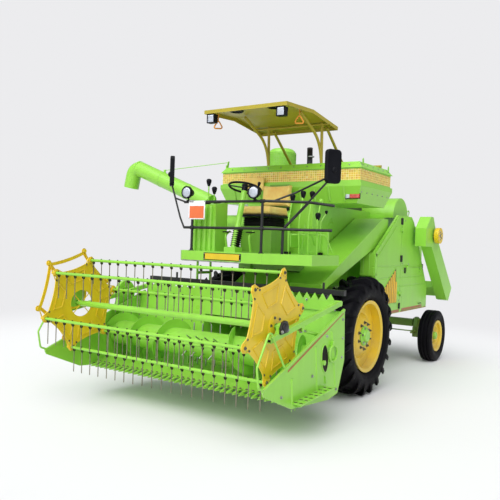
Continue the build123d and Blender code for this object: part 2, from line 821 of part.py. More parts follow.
# Slope cover on the left, over the belt drives
cover_low_x, cover_low_z, cover_high_x, cover_high_z = 780, 1410, -1050, 2290
cover_y = (narrow_left_y + 20, 860)
cover_outline = (
    at(cover_low_x, cover_low_z), at(cover_high_x, cover_high_z), at(-1250, cover_high_z),
    at(-1250, cover_high_z - 250), at(cover_low_x - 40, cover_low_z - 80),
)
brackets = [
    box_between(
        (x, narrow_left_y, z),
        (x + 100, cover_y[0] + 1, z + 90),
    ) for x, z in ((-1000, 2000), (-150, 1700))
]
keep(joined(side_panel(cover_outline, *cover_y), *brackets), "slope_cover")

# Left side: deck wall behind the cover, front guard and rear door
guard_y, guard_sheet = 920, 30
side_outline = (
    # x, z round the whole side guard, from the low front corner
    at(-1050, 910), at(-640, 1480), at(-640, 1800), at(-1500, 2370), at(-2080, 2370), at(-2190, 2290),
    at(-2920, 1250), at(-2920, 910),
)
hinge_x, flap_top, flap_front, flap_rear = -1665, 1580, -1760, -2700
door_gap = 5


def guard(x_low, x_high):
    """The left side guard between two places along the machine."""
    with BuildPart() as sheet_part:
        add(side_panel(side_outline, guard_y - guard_sheet, guard_y))
        add(
            box_between((x_low, guard_y - 50, 0), (x_high, guard_y + 50, 3000)),
            mode=Mode.INTERSECT,
        )
    return sheet_part.part


hinge_y, hinge_pin_r, hinge_barrel_r = guard_y + 17, 6, 12
door_hinges, flap_hinges, flap_hinge_z = (1200, 2150), (-2560, -1900), flap_top + 3


def upright(x, y, radius, z_low, z_high):
    """A round pin or barrel about a vertical axis."""
    with BuildPart() as pin:
        with BuildSketch(Plane.XY.offset(z_low)):
            with Locations((x, y)):
                Circle(radius)
        extrude(amount=z_high - z_low)
    return pin.part


def lengthwise(y, z, radius, x_low, x_high):
    """A round pin or barrel about an axis along the machine."""
    with BuildPart() as pin:
        with BuildSketch(Plane(origin=(x_low, y, z), x_dir=(0, 1, 0), z_dir=(1, 0, 0))):
            Circle(radius)
        extrude(amount=x_high - x_low)
    return pin.part


with BuildPart() as front_door:
    add(guard(hinge_x + door_gap, 0))
    for z in door_hinges:
        add(upright(hinge_x, hinge_y, hinge_barrel_r, z - 12, z + 30))
        add(box_between((hinge_x, hinge_y - 6, z - 12), (hinge_x + 55, hinge_y + 6, z + 30)))
        add(box_between((hinge_x + 25, guard_y - 1, z - 12), (hinge_x + 55, hinge_y + 6, z + 30)))
        add(
            upright(hinge_x, hinge_y, hinge_pin_r + hub_clearance, z - 13, z + 31),
            mode=Mode.SUBTRACT,
        )
keep(front_door.part, "left_front_door")
keep(mirror(front_door.part, about=Plane.XZ), "right_front_door")
with BuildPart() as rear_panel:
    add(guard(-4000, hinge_x - door_gap))
    for z in door_hinges:
        add(upright(hinge_x, hinge_y, hinge_pin_r, z - 40, z + 34))
        add(box_between((hinge_x - 35, guard_y - 1, z - 40), (hinge_x - door_gap, hinge_y + 6, z - 20)))
        add(box_between((hinge_x - 35, hinge_y - 6, z - 40), (hinge_x + 6, hinge_y + 6, z - 20)))
with BuildPart() as rear_left:
    add(rear_panel.part)
    add(
        box_between(
            (flap_rear - door_gap, guard_y - 40, 930 - door_gap),
            (flap_front + door_gap, guard_y + 1, flap_top + door_gap),
        ),
        mode=Mode.SUBTRACT,
    )
    for x in flap_hinges:
        add(lengthwise(hinge_y, flap_hinge_z, hinge_pin_r, x - 40, x + 34))
        add(box_between((x - 40, hinge_y - 12, flap_hinge_z - 6), (x - 20, hinge_y + 6, flap_top + 45)))
        add(box_between((x - 40, guard_y - 1, flap_top + 15), (x - 20, hinge_y + 6, flap_top + 45)))
keep(joined(rear_left.part, mirror(rear_panel.part, about=Plane.XZ)), "rear_side_panels")
with BuildPart() as flap:
    add(box_between((flap_rear, guard_y - guard_sheet, 930), (flap_front, guard_y, flap_top)))
    for x in flap_hinges:
        add(lengthwise(hinge_y, flap_hinge_z, hinge_barrel_r, x - 12, x + 30))
        add(box_between((x - 12, hinge_y - 6, flap_top - 60), (x + 30, hinge_y + 6, flap_hinge_z)))
        add(box_between((x - 12, guard_y - 1, flap_top - 60), (x + 30, hinge_y + 6, flap_top - 30)))
        add(
            lengthwise(hinge_y, flap_hinge_z, hinge_pin_r + hub_clearance, x - 13, x + 31),
            mode=Mode.SUBTRACT,
        )
keep(flap.part, "left_rear_flap")

# Guard frames that carry the panels off the body
frames = [
    box_between((x, body_half_width, z), (x + 30, guard_y - guard_sheet - seat_gap, z + 30))
    for x, z in ((-1720, 1640), (-1720, 960), (-2860, 1080))
]
rail_solids = joined(both_sides(rail), *cross, hitch.part)
keep(joined(rail_solids, both_sides(joined(*frames))), "chassis_frame")

# Tailings elevator at the left rear: head box, raked leg, cross trough and pulley
head_front_x, head_y_in, head_y_out = -2110, 945, 1150
tail_outline = (
    at(-2100, 1920), at(-2100, 2200), at(-2300, 2390), at(-2430, 2390), at(-2640, 2080),
    at(-3570, 1220), at(-3400, 1010), at(-3300, 1030), at(-2390, 1920),
)
with BuildPart() as tailings:
    add(side_panel(tail_outline, head_y_in + 30, head_y_out))
    add(
        side_panel(
            (at(-3330, 1080), at(-3180, 1230), at(-3300, 1330), at(-3450, 1190)),
            body_half_width + seat_gap, head_y_in + 30,
        )
    )
    add(disc_y(-2520, 2100, 22.06, head_y_out - 60, head_y_out + 1), mode=Mode.SUBTRACT)
keep(joined(elevator, boot.part, tailings.part), "conveyor_housings")
keep(
    joined(
        disc_y(-2520, 2100, 125, head_y_out + 25, head_y_out + 95),
        disc_y(-2520, 2100, 22, head_y_out - 55, head_y_out + 110),
    ),
    "tailings_pulley",
)

# Ladder at the right front of the platform
ladder_y = platform_right_y - 64
ladder = joined(
    *[bar(((x, ladder_y, apron_low_z + 20), (x, ladder_y, 620)), 30) for x in (830, 1100)],
    *[bar(((830, ladder_y, z), (1100, ladder_y, z)), 30) for z in (660, 930, 1200, 1470)],
)
keep(joined(platform.part, console, ladder), "operator_platform")

# Feeder house: swings on the body's round seat and carries the header
top_tangent, low_tangent = 62, 237
feeder_high, feeder_low = 1080, 423


def feeder_shape(radius, shrink, front, y_half):
    """Side profile of the feeder house, round at its upper end."""
    top, low = polar(radius, top_tangent), polar(radius, low_tangent)
    with BuildPart() as shape:
        with BuildSketch(side_plane(y_half)):
            with BuildLine():
                Polyline(low, at(front, feeder_low + shrink), at(front, feeder_high - shrink), top)
                ThreePointArc(top, polar(radius, 150), low)
            make_face()
        extrude(amount=2 * y_half)
    return shape.part


with BuildPart() as feeder:
    add(feeder_shape(feeder_end_r, 0, feeder_front_x, feeder_half_width))
    add(
        feeder_shape(feeder_end_r - sheet, sheet, feeder_front_x + 10, feeder_half_width - sheet),
        mode=Mode.SUBTRACT,
    )
    add(disc_y(lift_x, lift_z, lift_shaft_r, -plate_in - 12, plate_in + 12))
flange_half, flange_low, flange_high = 470, 400, 1130
flange_mouth = (feeder_low + sheet, feeder_high - sheet)
with BuildPart() as flange:
    add(
        box_between(
            (feeder_front_x - sheet, -flange_half, flange_low), (feeder_front_x, flange_half, flange_high)
        )
    )
    add(
        box_between(
            (feeder_front_x - 30, -feeder_half_width + sheet, flange_mouth[0]),
            (feeder_front_x + 10, feeder_half_width - sheet, flange_mouth[1]),
        ),
        mode=Mode.SUBTRACT,
    )
ram_lug = disc_y(*lift_eye, ram_pin_r, feeder_half_width, lift_ram_y + 50)
ram_washer = disc_y(*lift_eye, 30, lift_ram_y + 42, lift_ram_y + 50)
keep(joined(feeder.part, flange.part, both_sides(joined(ram_lug, ram_washer))), "feeder_house")

# Header shell: trough floor, back wall with the feeder mouth, side walls, beam and dividers


def trough_point(radius, angle):
    """A point about the header auger's axis in side view."""
    turn = math.radians(angle)
    return (auger_x + radius * math.cos(turn), auger_z + radius * math.sin(turn))


knife_edge = at(knife_x - 10, knife_z)
back_x, back_z = header_back_top
trough_front, trough_rear = -60, 185
outer_r = trough_r + floor_t
with BuildPart() as trough:
    with BuildSketch(side_plane(header_left_y - sheet)):
        with BuildLine():
            Line(knife_edge, trough_point(trough_r, trough_front))
            ThreePointArc(
                trough_point(trough_r, trough_front), trough_point(trough_r, -120),
                trough_point(trough_r, trough_rear)
            )
            Polyline(
                trough_point(trough_r, trough_rear), header_back_top,
                at(back_x - floor_t, back_z), trough_point(outer_r, trough_rear),
            )
            ThreePointArc(
                trough_point(outer_r, trough_rear), trough_point(outer_r, -120),
                trough_point(outer_r, trough_front)
            )
            Polyline(
                trough_point(outer_r, trough_front), at(knife_edge[0], knife_z - floor_t), knife_edge
            )
        make_face()
    extrude(amount=header_left_y - header_right_y - 2 * sheet)
    add(
        box_between(
            (1250, -feeder_half_width + sheet, feeder_low + 2 * sheet),
            (1640, feeder_half_width - sheet, 1000),
        ),
        mode=Mode.SUBTRACT,
    )
mouth_low, mouth_high = feeder_low + 2 * sheet, 1000
with BuildPart() as throat:
    add(
        box_between(
            (feeder_front_x, -feeder_half_width, mouth_low - sheet),
            (auger_x, feeder_half_width, mouth_high + sheet),
        )
    )
    add(
        box_between(
            (feeder_front_x - 5, -feeder_half_width + sheet, mouth_low),
            (auger_x + 5, feeder_half_width - sheet, mouth_high),
        ),
        mode=Mode.SUBTRACT,
    )
    add(disc_y(auger_x, auger_z, trough_r, -500, 500), mode=Mode.SUBTRACT)
    with BuildSketch(side_plane(500)):
        with BuildLine():
            Polyline(
                trough_point(trough_r - 1, trough_rear), header_back_top, at(1900, back_z),
                at(1900, 500), close=True,
            )
        make_face()
    extrude(amount=1000, mode=Mode.SUBTRACT)
wall_outline = (
    at(2870, 590), at(2850, 555), at(2370, 355), at(1620, 300), at(1410, 330), at(1270, 660),
    at(1300, 1190),
)
walls = []
for y_low in (header_left_y - sheet, header_right_y):
    with BuildPart() as wall:
        add(side_panel(wall_outline, y_low, y_low + sheet))
        add(
            disc_y(auger_x, auger_z, 25 + bar_clearance, y_low - 1, y_low + sheet + 1),
            mode=Mode.SUBTRACT,
        )
    walls.append(wall.part)
    rail_mid_y = y_low + sheet / 2
    walls.append(bar(((2868, rail_mid_y, 600), (1302, rail_mid_y, 1198)), 24, square=True))
    walls.append(
        bar(
            (
                (2815, rail_mid_y, 600), (2930, rail_mid_y, 640), (2965, rail_mid_y, 820),
                (2775, rail_mid_y, 1125), (2500, rail_mid_y, 745),
            ),
            20, bend=38,
        )
    )
beam_x, beam_front_x, beam_z = feeder_front_x, back_x + 5, back_z
beam = box_between(
    (beam_x, header_right_y + sheet, beam_z - header_beam_h), (beam_front_x, header_left_y - sheet, beam_z)
)
pivot_ears = []
tube_r = 30
for y in (-1000, 1000):
    with BuildPart() as ear:
        add(
            side_panel(
                (
                    at(beam_x, beam_z), at(beam_front_x, beam_z), at(arm_pivot_x + 45, arm_pivot_z + 10),
                    at(arm_pivot_x + 20, arm_pivot_z + 45), at(arm_pivot_x - 20, arm_pivot_z + 45),
                ),
                y - 10, y + 10,
            )
        )
        add(
            disc_y(arm_pivot_x, arm_pivot_z, tube_r + bar_clearance, y - 20, y + 20),
            mode=Mode.SUBTRACT,
        )
    pivot_ears.append(ear.part)
ram_pins = [
    disc_y(*reel_base, reel_pin_r, arm_left_y - 26, header_left_y - sheet),
    disc_y(*reel_base, reel_pin_r, header_right_y + sheet, arm_right_y + 26),
]
# Step outside the left wall, for cleaning the reel
step_y = 1530
step = side_panel((at(2370, 404), at(2370, 412), at(1690, 452), at(1690, 444)), header_left_y - 2, step_y)
step_feet = [
    side_panel((at(x, z), at(x + 40, z - 2), at(x + 40, z - 52), at(x, z - 50)), header_left_y - 2, 1470)
    for x, z in ((2240, 414), (1780, 441))
]
shell = joined(trough.part, throat.part, *walls, beam, *pivot_ears, *ram_pins, step, *step_feet)
keep(shell, "header_shell")

# Black cross bar behind the header's top beam, with its feet and upright pegs
rear_bar = joined(
    box_between((1215, -1420, 1340), (1275, 1390, 1400)),
    *[box_between((1230, y, beam_z - 40), (beam_x, y + 50, 1341)) for y in (-1200, -450, 400, 1150)],
    *[bar(((1245, y, 1395), (1245, y, 1470)), 26) for y in (-980, 1130)],
)
keep(rear_bar, "header_rear_bar")

# Knife bar with its guard fingers
guard_pitch, guard_len, finger_inset = 76.2, 130, 60
knife_back = knife_x - 10
bar_depth, bar_height = 55, 24
count = int((header_left_y - header_right_y - 2 * finger_inset) / guard_pitch)
knife_mid_y = (header_left_y + header_right_y) / 2
knife_bar = box_between(
    (knife_back, header_right_y + sheet, knife_z - bar_height),
    (knife_back + bar_depth, header_left_y - sheet, knife_z)
)
with BuildPart() as finger:
    with BuildSketch(
        Plane(
            origin=(knife_back + bar_depth - 10, knife_mid_y, knife_z - 12),
            x_dir=(0, 1, 0),
            z_dir=(1, 0, 0),
        )
    ):
        Rectangle(26, 22)
    with BuildSketch(
        Plane(origin=(knife_back + guard_len, knife_mid_y, knife_z - 4), x_dir=(0, 1, 0), z_dir=(1, 0, 0))
    ):
        Rectangle(5, 6)
    loft(ruled=True)
with BuildPart() as knife:
    add(knife_bar)
    with Locations(*[(0, (n - (count - 1) / 2) * guard_pitch, 0) for n in range(count)]):
        add(finger.part)
keep(knife.part, "knife_bar")

# Header auger: drum with flights that carry the crop to the middle
auger_gap = 8
auger_ends = (header_right_y + sheet + auger_gap, header_left_y - sheet - auger_gap)
flight_start, flight_t = 330, 6


def auger_flight(direction, length, lefthand):
    """A helicoid plate on the drum, from beside the feeder mouth out to one end."""
    edges = [
        Edge.make_helix(
            auger_pitch, length, radius, center=(auger_x, direction * flight_start, auger_z),
            normal=(0, direction, 0), lefthand=lefthand,
        )
        for radius in (auger_drum_r - 2, auger_flight_r)
    ]
    return Solid.thicken(Face.make_surface_from_curves(*edges), flight_t)


auger = joined(
    disc_y(auger_x, auger_z, auger_drum_r, *auger_ends),
    disc_y(auger_x, auger_z, 25, header_right_y - 40, header_left_y + 20),
    auger_flight(1, auger_ends[1] - flight_start - 10, False),
    auger_flight(-1, -auger_ends[0] - flight_start - 10, True),
)
keep(auger, "header_auger")

# Belt guard and reel drive on the right wall
drive_y = (header_right_y - 75, header_right_y - 18)
belt_guard = joined(
    disc_y(1620, 1190, 150, *drive_y),
    side_panel((at(1500, 1130), at(1740, 1110), at(1870, 840), at(1650, 800)), *drive_y),
    disc_y(1620, 1020, 40, header_right_y - 20, header_right_y),
)
keep(belt_guard, "header_drive")

# Reel: central tube, two hexagonal plates, six tine bars and an offset ring


def corner(k, radius=reel_bar_r, dx=0.0, dz=0.0):
    """Place of tine bar k in side view."""
    turn = math.radians(reel_phase - 360 / reel_sides * k)
    return (reel_x + dx + radius * math.cos(turn), reel_z + dz + radius * math.sin(turn))


plate_t = 8


def hexagon(radius, hollow, dx=0.0, dz=0.0):
    """Closed line of six hollow edges between the corners."""
    for k in range(reel_sides):
        ThreePointArc(
            corner(k, radius, dx, dz), corner(k + 0.5, radius * hollow, dx, dz),
            corner(k + 1, radius, dx, dz)
        )


def hexagon_plate(y_low, opening):
    """A six-cornered plate with hollow edges, round lobes and a bearing hole at each corner."""
    corners = [corner(k) for k in range(reel_sides)]
    with BuildPart() as plate:
        with BuildSketch(side_plane(y_low + plate_t)):
            with BuildLine():
                hexagon(reel_bar_r, 0.80)
            make_face()
            with Locations(*corners):
                Circle(42)
            if opening:
                with Locations(at(reel_x, reel_z)):
                    Circle(opening, mode=Mode.SUBTRACT)
            with Locations(*corners):
                Circle(bar_d / 2 + bar_clearance, mode=Mode.SUBTRACT)
        extrude(amount=plate_t)
    return plate.part


plate_out = reel_plate_y + plate_t
spider = [
    bar(
        (
            (reel_x, -reel_plate_y - plate_t / 2, reel_z),
            (
                reel_x + 160 * math.cos(math.radians(angle)), -reel_plate_y - plate_t / 2,
                reel_z + 160 * math.sin(math.radians(angle)),
            ),
        ),
        plate_t, square=True,
    )
    for angle in range(45, 360, 90)
]
reel = joined(
    hexagon_plate(reel_plate_y, 0),
    hexagon_plate(-plate_out, 150),
    disc_y(reel_x, reel_z, 33, -plate_out, plate_out),
    disc_y(reel_x, reel_z, reel_shaft_r, arm_right_y - arm_size / 2, arm_left_y + arm_size / 2),
    *spider,
)
keep(reel, "reel_frame")

# Control ring: a thin hexagonal frame whose hub ring turns on the fixed eccentric disc
ring_y = -reel_plate_y - ring_gap_y
ring_low = ring_y - plate_t
crank_gap, crank_t = 6, 10
ring_pin_r, ring_width = 9, 45
ring_hub_r = eccentric_r + bar_clearance
ring_x, ring_z = reel_x + ring_offset_x, reel_z + ring_offset_z
ring_corners = [corner(k, dx=ring_offset_x, dz=ring_offset_z) for k in range(reel_sides)]
with BuildPart() as control_ring:
    with BuildSketch(side_plane(ring_y)):
        with BuildLine():
            hexagon(reel_bar_r, 0.83, ring_offset_x, ring_offset_z)
        make_face()
        with BuildLine():
            hexagon(reel_bar_r - ring_width, 0.83, ring_offset_x, ring_offset_z)
        make_face(mode=Mode.SUBTRACT)
        with Locations(*ring_corners):
            Circle(32)
        with Locations(at(ring_x, ring_z)):
            with PolarLocations(290, 3, 44.2):
                Rectangle(330, 30)
            Circle(ring_hub_r + 24)
            Circle(ring_hub_r, mode=Mode.SUBTRACT)
        with Locations(*ring_corners):
            Circle(ring_pin_r + bar_clearance, mode=Mode.SUBTRACT)
    extrude(amount=plate_t)
keep(control_ring.part, "control_ring")

# Tine bars: each hangs its tines straight down and follows the ring by its crank
crank_y = ring_y + crank_gap
tine_count = 20
for k in range(reel_sides):
    bar_x, bar_z = corner(k)
    pin_x, pin_z = corner(k, dx=ring_offset_x, dz=ring_offset_z)
    tines = [
        bar(
            (
                (bar_x, (n - (tine_count - 1) / 2) * tine_pitch, bar_z - bar_d / 2 + 4),
                (bar_x, (n - (tine_count - 1) / 2) * tine_pitch, bar_z - bar_d / 2 - tine_len),
            ),
            tine_d, square=True,
        )
        for n in range(tine_count)
    ]
    tine_bar = joined(
        disc_y(bar_x, bar_z, bar_d / 2, crank_y, plate_out + 6),
        bar(
            ((bar_x, crank_y + crank_t / 2, bar_z), (pin_x, crank_y + crank_t / 2, pin_z)),
            crank_t,
            square=True,
        ),
        disc_y(pin_x, pin_z, 22, crank_y, crank_y + crank_t),
        disc_y(pin_x, pin_z, ring_pin_r, ring_low - 3, crank_y + crank_t),
        *tines,
    )
    keep(tine_bar, f"tine_bar_{k + 1}")

# Reel arms: two square arms on a torque tube, with bearings, the eccentric disc and ram lugs


def arm_z(x):
    """Height of the arm's middle line."""
    return arm_pivot_z + (x - arm_pivot_x) * (arm_front_z - arm_pivot_z) / (arm_front_x - arm_pivot_x)


bearing_low = arm_z(reel_x) + 10
arm_solids = [
    disc_y(arm_pivot_x, arm_pivot_z, tube_r, arm_right_y - arm_size / 2, arm_left_y + arm_size / 2)
]
for arm_y in (arm_left_y, arm_right_y):
    arm_solids.append(
        bar(((arm_pivot_x, arm_y, arm_pivot_z), (arm_front_x, arm_y, arm_front_z)), arm_size, square=True)
    )
    with BuildPart() as bearing:
        with BuildSketch(side_plane(arm_y + arm_size / 2)):
            with BuildLine():
                Polyline(
                    at(reel_x - 60, bearing_low), at(reel_x + 60, bearing_low),
                    at(reel_x + 38, reel_z + 20), at(reel_x - 38, reel_z + 20), close=True,
                )
            make_face()
            with Locations(at(reel_x, reel_z)):
                Circle(40)
        extrude(amount=arm_size)
        add(disc_y(*reel_eye, reel_pin_r, arm_y - 25, arm_y + 25))
        with BuildSketch(side_plane(arm_y + arm_size / 2)):
            with BuildLine():
                Polyline(
                    at(reel_eye[0] - 30, arm_z(reel_eye[0])), at(reel_eye[0] + 30, arm_z(reel_eye[0])),
                    at(reel_eye[0] + 12, reel_eye[1] - 12),
                    at(reel_eye[0] - 12, reel_eye[1] - 12), close=True,
                )
            make_face()
        extrude(amount=8)
        with BuildSketch(side_plane(arm_y - arm_size / 2 + 8)):
            with BuildLine():
                Polyline(
                    at(reel_eye[0] - 30, arm_z(reel_eye[0])), at(reel_eye[0] + 30, arm_z(reel_eye[0])),
                    at(reel_eye[0] + 12, reel_eye[1] - 12),
                    at(reel_eye[0] - 12, reel_eye[1] - 12), close=True,
                )
            make_face()
        extrude(amount=8)
    arm_solids.append(bearing.part)
disc_in = arm_right_y + arm_size / 2
arm_solids.append(disc_y(ring_x, ring_z, 70, disc_in - 12, disc_in))
arm_solids.append(
    side_panel(
        (
            at(reel_x - 60, bearing_low),
            at(reel_x + 90, bearing_low),
            at(ring_x + 60, ring_z),
            at(ring_x - 70, ring_z),
        ),
        disc_in - 12, disc_in,
    )
)
arm_solids.append(disc_y(ring_x, ring_z, 60, disc_in - 1, ring_low))
arm_solids.append(disc_y(ring_x, ring_z, eccentric_r, ring_low, ring_y))
with BuildPart() as reel_arms:
    for solid in arm_solids:
        add(solid)
    add(
        disc_y(reel_x, reel_z, reel_shaft_r + bar_clearance, arm_right_y - 40, arm_left_y + 40),
        mode=Mode.SUBTRACT,
    )
    add(
        disc_y(reel_x, reel_z, reel_shaft_r + 12, disc_in, ring_y + 5),
        mode=Mode.SUBTRACT,
    )
keep(reel_arms.part, "reel_arms")

# Rams: header lift between the front axle and the feeder house, reel lift between wall and arm


def ram_line(base, eye):
    """Unit direction and length of a ram in side view."""
    length = math.hypot(eye[0] - base[0], eye[1] - base[1])
    return (eye[0] - base[0]) / length, (eye[1] - base[1]) / length, length


def ram_pair(base, eye, y, barrel_r, rod_r, pin_r, slack, stroke_share):
    """Barrel and rod of one ram: the barrel's eye fits its pin, the rod's eye is wider."""
    dx, dz, length = ram_line(base, eye)

    def along(distance):
        return (base[0] + dx * distance, y, base[1] + dz * distance)

    eye_r = pin_r + slack + 8
    barrel_end = length * stroke_share
    with BuildPart() as barrel:
        add(bar((along(pin_r + 6), along(barrel_end)), 2 * barrel_r))
        add(disc_y(*base, pin_r + 14, y - barrel_r * 0.8, y + barrel_r * 0.8))
        add(disc_y(*base, pin_r + bar_clearance, y - barrel_r, y + barrel_r), mode=Mode.SUBTRACT)
        add(
            bar((along(pin_r + 20), along(barrel_end + 5)), 2 * (rod_r + bar_clearance)),
            mode=Mode.SUBTRACT,
        )
    with BuildPart() as rod:
        add(bar((along(barrel_end * 0.4), along(length - eye_r + 4)), 2 * rod_r))
        add(disc_y(*eye, eye_r, y - rod_r, y + rod_r))
        add(disc_y(*eye, pin_r + slack, y - barrel_r, y + barrel_r), mode=Mode.SUBTRACT)
    return barrel.part, rod.part


# name, base, eye, y places, barrel radius, rod radius, pin radius, slack, barrel's share of length
ram_table = (
    ("lift", lift_base, lift_eye, (lift_ram_y, -lift_ram_y), 42, 22, ram_pin_r, eye_slack, 0.80),
    ("reel_lift", reel_base, reel_eye, (arm_left_y, arm_right_y), 17, 8, reel_pin_r, reel_eye_slack, 0.72),
)
for name, base, eye, places, barrel_r, rod_r, pin_r, slack, share in ram_table:
    pairs = [ram_pair(base, eye, y, barrel_r, rod_r, pin_r, slack, share) for y in places]
    keep(joined(*[pair[0] for pair in pairs]), f"{name}_barrels")
    keep(joined(*[pair[1] for pair in pairs]), f"{name}_rods")

# Every piece is moved so that the bottom middle of the whole machine is the origin
whole = Compound(children=[Compound(obj=[s for s in p.solids()]) for p in pieces])
box = whole.bounding_box()
origin = ((box.min.X + box.max.X) / 2, (box.min.Y + box.max.Y) / 2, box.min.Z)
os.makedirs("parts", exist_ok=True)
for piece in pieces:
    placed = Pos(-origin[0], -origin[1], -origin[2]) * piece
    placed.label = piece.label
    export_step(placed, f"parts/{piece.label}.step")
print("origin", [round(v, 3) for v in origin], "size", box.size)
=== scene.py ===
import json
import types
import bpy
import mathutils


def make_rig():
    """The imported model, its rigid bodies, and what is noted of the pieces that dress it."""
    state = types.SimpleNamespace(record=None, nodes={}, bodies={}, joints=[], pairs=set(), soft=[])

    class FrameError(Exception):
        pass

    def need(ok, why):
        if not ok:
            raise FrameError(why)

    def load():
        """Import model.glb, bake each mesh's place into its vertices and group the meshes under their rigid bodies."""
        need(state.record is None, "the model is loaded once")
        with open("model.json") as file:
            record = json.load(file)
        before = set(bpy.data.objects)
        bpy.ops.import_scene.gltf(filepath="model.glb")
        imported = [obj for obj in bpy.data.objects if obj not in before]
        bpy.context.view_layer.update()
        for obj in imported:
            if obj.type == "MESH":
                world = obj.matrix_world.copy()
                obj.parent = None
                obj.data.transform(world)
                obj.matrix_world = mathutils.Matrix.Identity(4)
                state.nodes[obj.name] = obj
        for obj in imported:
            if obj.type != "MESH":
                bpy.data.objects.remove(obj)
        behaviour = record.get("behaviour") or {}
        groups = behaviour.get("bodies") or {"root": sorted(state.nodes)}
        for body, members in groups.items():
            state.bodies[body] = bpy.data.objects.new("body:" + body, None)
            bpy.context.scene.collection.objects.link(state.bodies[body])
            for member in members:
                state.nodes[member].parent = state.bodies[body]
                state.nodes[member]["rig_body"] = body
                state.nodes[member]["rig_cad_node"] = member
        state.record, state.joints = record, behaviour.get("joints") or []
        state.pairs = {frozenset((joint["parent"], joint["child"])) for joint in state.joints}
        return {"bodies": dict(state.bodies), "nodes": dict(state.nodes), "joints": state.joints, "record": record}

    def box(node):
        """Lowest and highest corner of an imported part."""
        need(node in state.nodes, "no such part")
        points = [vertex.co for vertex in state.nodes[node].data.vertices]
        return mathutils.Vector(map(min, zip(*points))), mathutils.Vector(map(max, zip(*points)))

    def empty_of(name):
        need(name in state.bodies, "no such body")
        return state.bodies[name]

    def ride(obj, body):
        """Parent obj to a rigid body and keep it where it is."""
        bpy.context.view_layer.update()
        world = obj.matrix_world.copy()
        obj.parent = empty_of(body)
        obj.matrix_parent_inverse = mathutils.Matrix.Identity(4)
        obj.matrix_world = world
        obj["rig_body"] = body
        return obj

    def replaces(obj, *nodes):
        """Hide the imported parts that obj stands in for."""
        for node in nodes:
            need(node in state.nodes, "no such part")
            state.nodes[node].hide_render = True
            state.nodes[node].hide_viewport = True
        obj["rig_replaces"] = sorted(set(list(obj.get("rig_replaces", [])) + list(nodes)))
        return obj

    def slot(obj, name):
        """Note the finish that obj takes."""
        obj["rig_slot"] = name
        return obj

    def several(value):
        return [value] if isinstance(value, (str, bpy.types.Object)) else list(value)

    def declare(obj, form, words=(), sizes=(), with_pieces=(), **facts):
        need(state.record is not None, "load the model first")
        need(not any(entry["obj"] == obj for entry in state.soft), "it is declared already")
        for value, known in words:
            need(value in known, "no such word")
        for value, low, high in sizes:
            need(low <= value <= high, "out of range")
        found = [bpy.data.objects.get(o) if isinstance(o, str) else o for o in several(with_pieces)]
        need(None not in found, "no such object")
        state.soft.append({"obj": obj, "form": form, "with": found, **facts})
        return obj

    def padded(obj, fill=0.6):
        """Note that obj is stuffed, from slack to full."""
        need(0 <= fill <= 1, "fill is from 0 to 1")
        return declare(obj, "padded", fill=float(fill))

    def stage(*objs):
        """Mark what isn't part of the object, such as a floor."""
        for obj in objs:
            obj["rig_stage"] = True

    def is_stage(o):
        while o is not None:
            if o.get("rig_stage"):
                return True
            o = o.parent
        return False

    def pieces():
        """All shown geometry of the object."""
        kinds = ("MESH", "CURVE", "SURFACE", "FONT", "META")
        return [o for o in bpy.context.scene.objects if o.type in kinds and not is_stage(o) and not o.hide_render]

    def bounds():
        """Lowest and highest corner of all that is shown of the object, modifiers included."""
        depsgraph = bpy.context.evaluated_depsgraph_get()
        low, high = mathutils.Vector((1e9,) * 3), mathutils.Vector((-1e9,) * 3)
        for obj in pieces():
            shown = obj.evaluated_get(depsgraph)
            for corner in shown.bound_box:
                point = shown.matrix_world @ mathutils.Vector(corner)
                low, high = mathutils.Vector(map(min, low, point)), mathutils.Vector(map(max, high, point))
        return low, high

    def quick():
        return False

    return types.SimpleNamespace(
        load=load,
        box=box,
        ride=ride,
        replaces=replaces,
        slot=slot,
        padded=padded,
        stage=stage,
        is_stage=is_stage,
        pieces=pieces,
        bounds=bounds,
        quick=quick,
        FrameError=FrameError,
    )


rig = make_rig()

bl_info = {
    "name": "Combine harvester finish",
    "version": (1, 0, 0),
    "blender": (4, 5, 0),
    "location": "View3D > Sidebar > Harvester",
    "description": "Finishes, tread, fittings, seat and studio for the combine harvester",
    "category": "Object",
}

import json
import math

import bmesh
import bpy
from bpy.props import FloatProperty, FloatVectorProperty, IntProperty, PointerProperty
from mathutils import Matrix, Vector
from mathutils.bvhtree import BVHTree

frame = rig.load()
CAD_BOX = [list(corner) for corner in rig.bounds()]

# The machine is drawn in millimetres, with zero on the ground under the middle of the front axle.
AXLE_LOW, AXLE_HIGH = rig.box("front_axle")
SHIFT = Vector(((AXLE_LOW[0] + AXLE_HIGH[0]) / 2, (AXLE_LOW[1] + AXLE_HIGH[1]) / 2, 0))

FRONT_AXIS = (0, 0, 750)
REAR_AXIS = (-3090, 0, 426)
REEL_AXIS = (2520, 0, 1120)
REEL_CIRCLE = 505
FIRST_BAR = 104.2
DRUM_AXIS = (1760, 0, 700)


def at(x, y, z):
    """A place on the machine, in millimetres, as metres in the shared frame."""
    return SHIFT + Vector((x, y, z)) / 1000


def linear(code):
    """A web colour as the linear values that shaders take."""
    values = [int(code[i : i + 2], 16) / 255 for i in (1, 3, 5)]
    return tuple(v / 12.92 if v <= 0.04045 else ((v + 0.055) / 1.055) ** 2.4 for v in values)


# Settings ------------------------------------------------------------------------------------


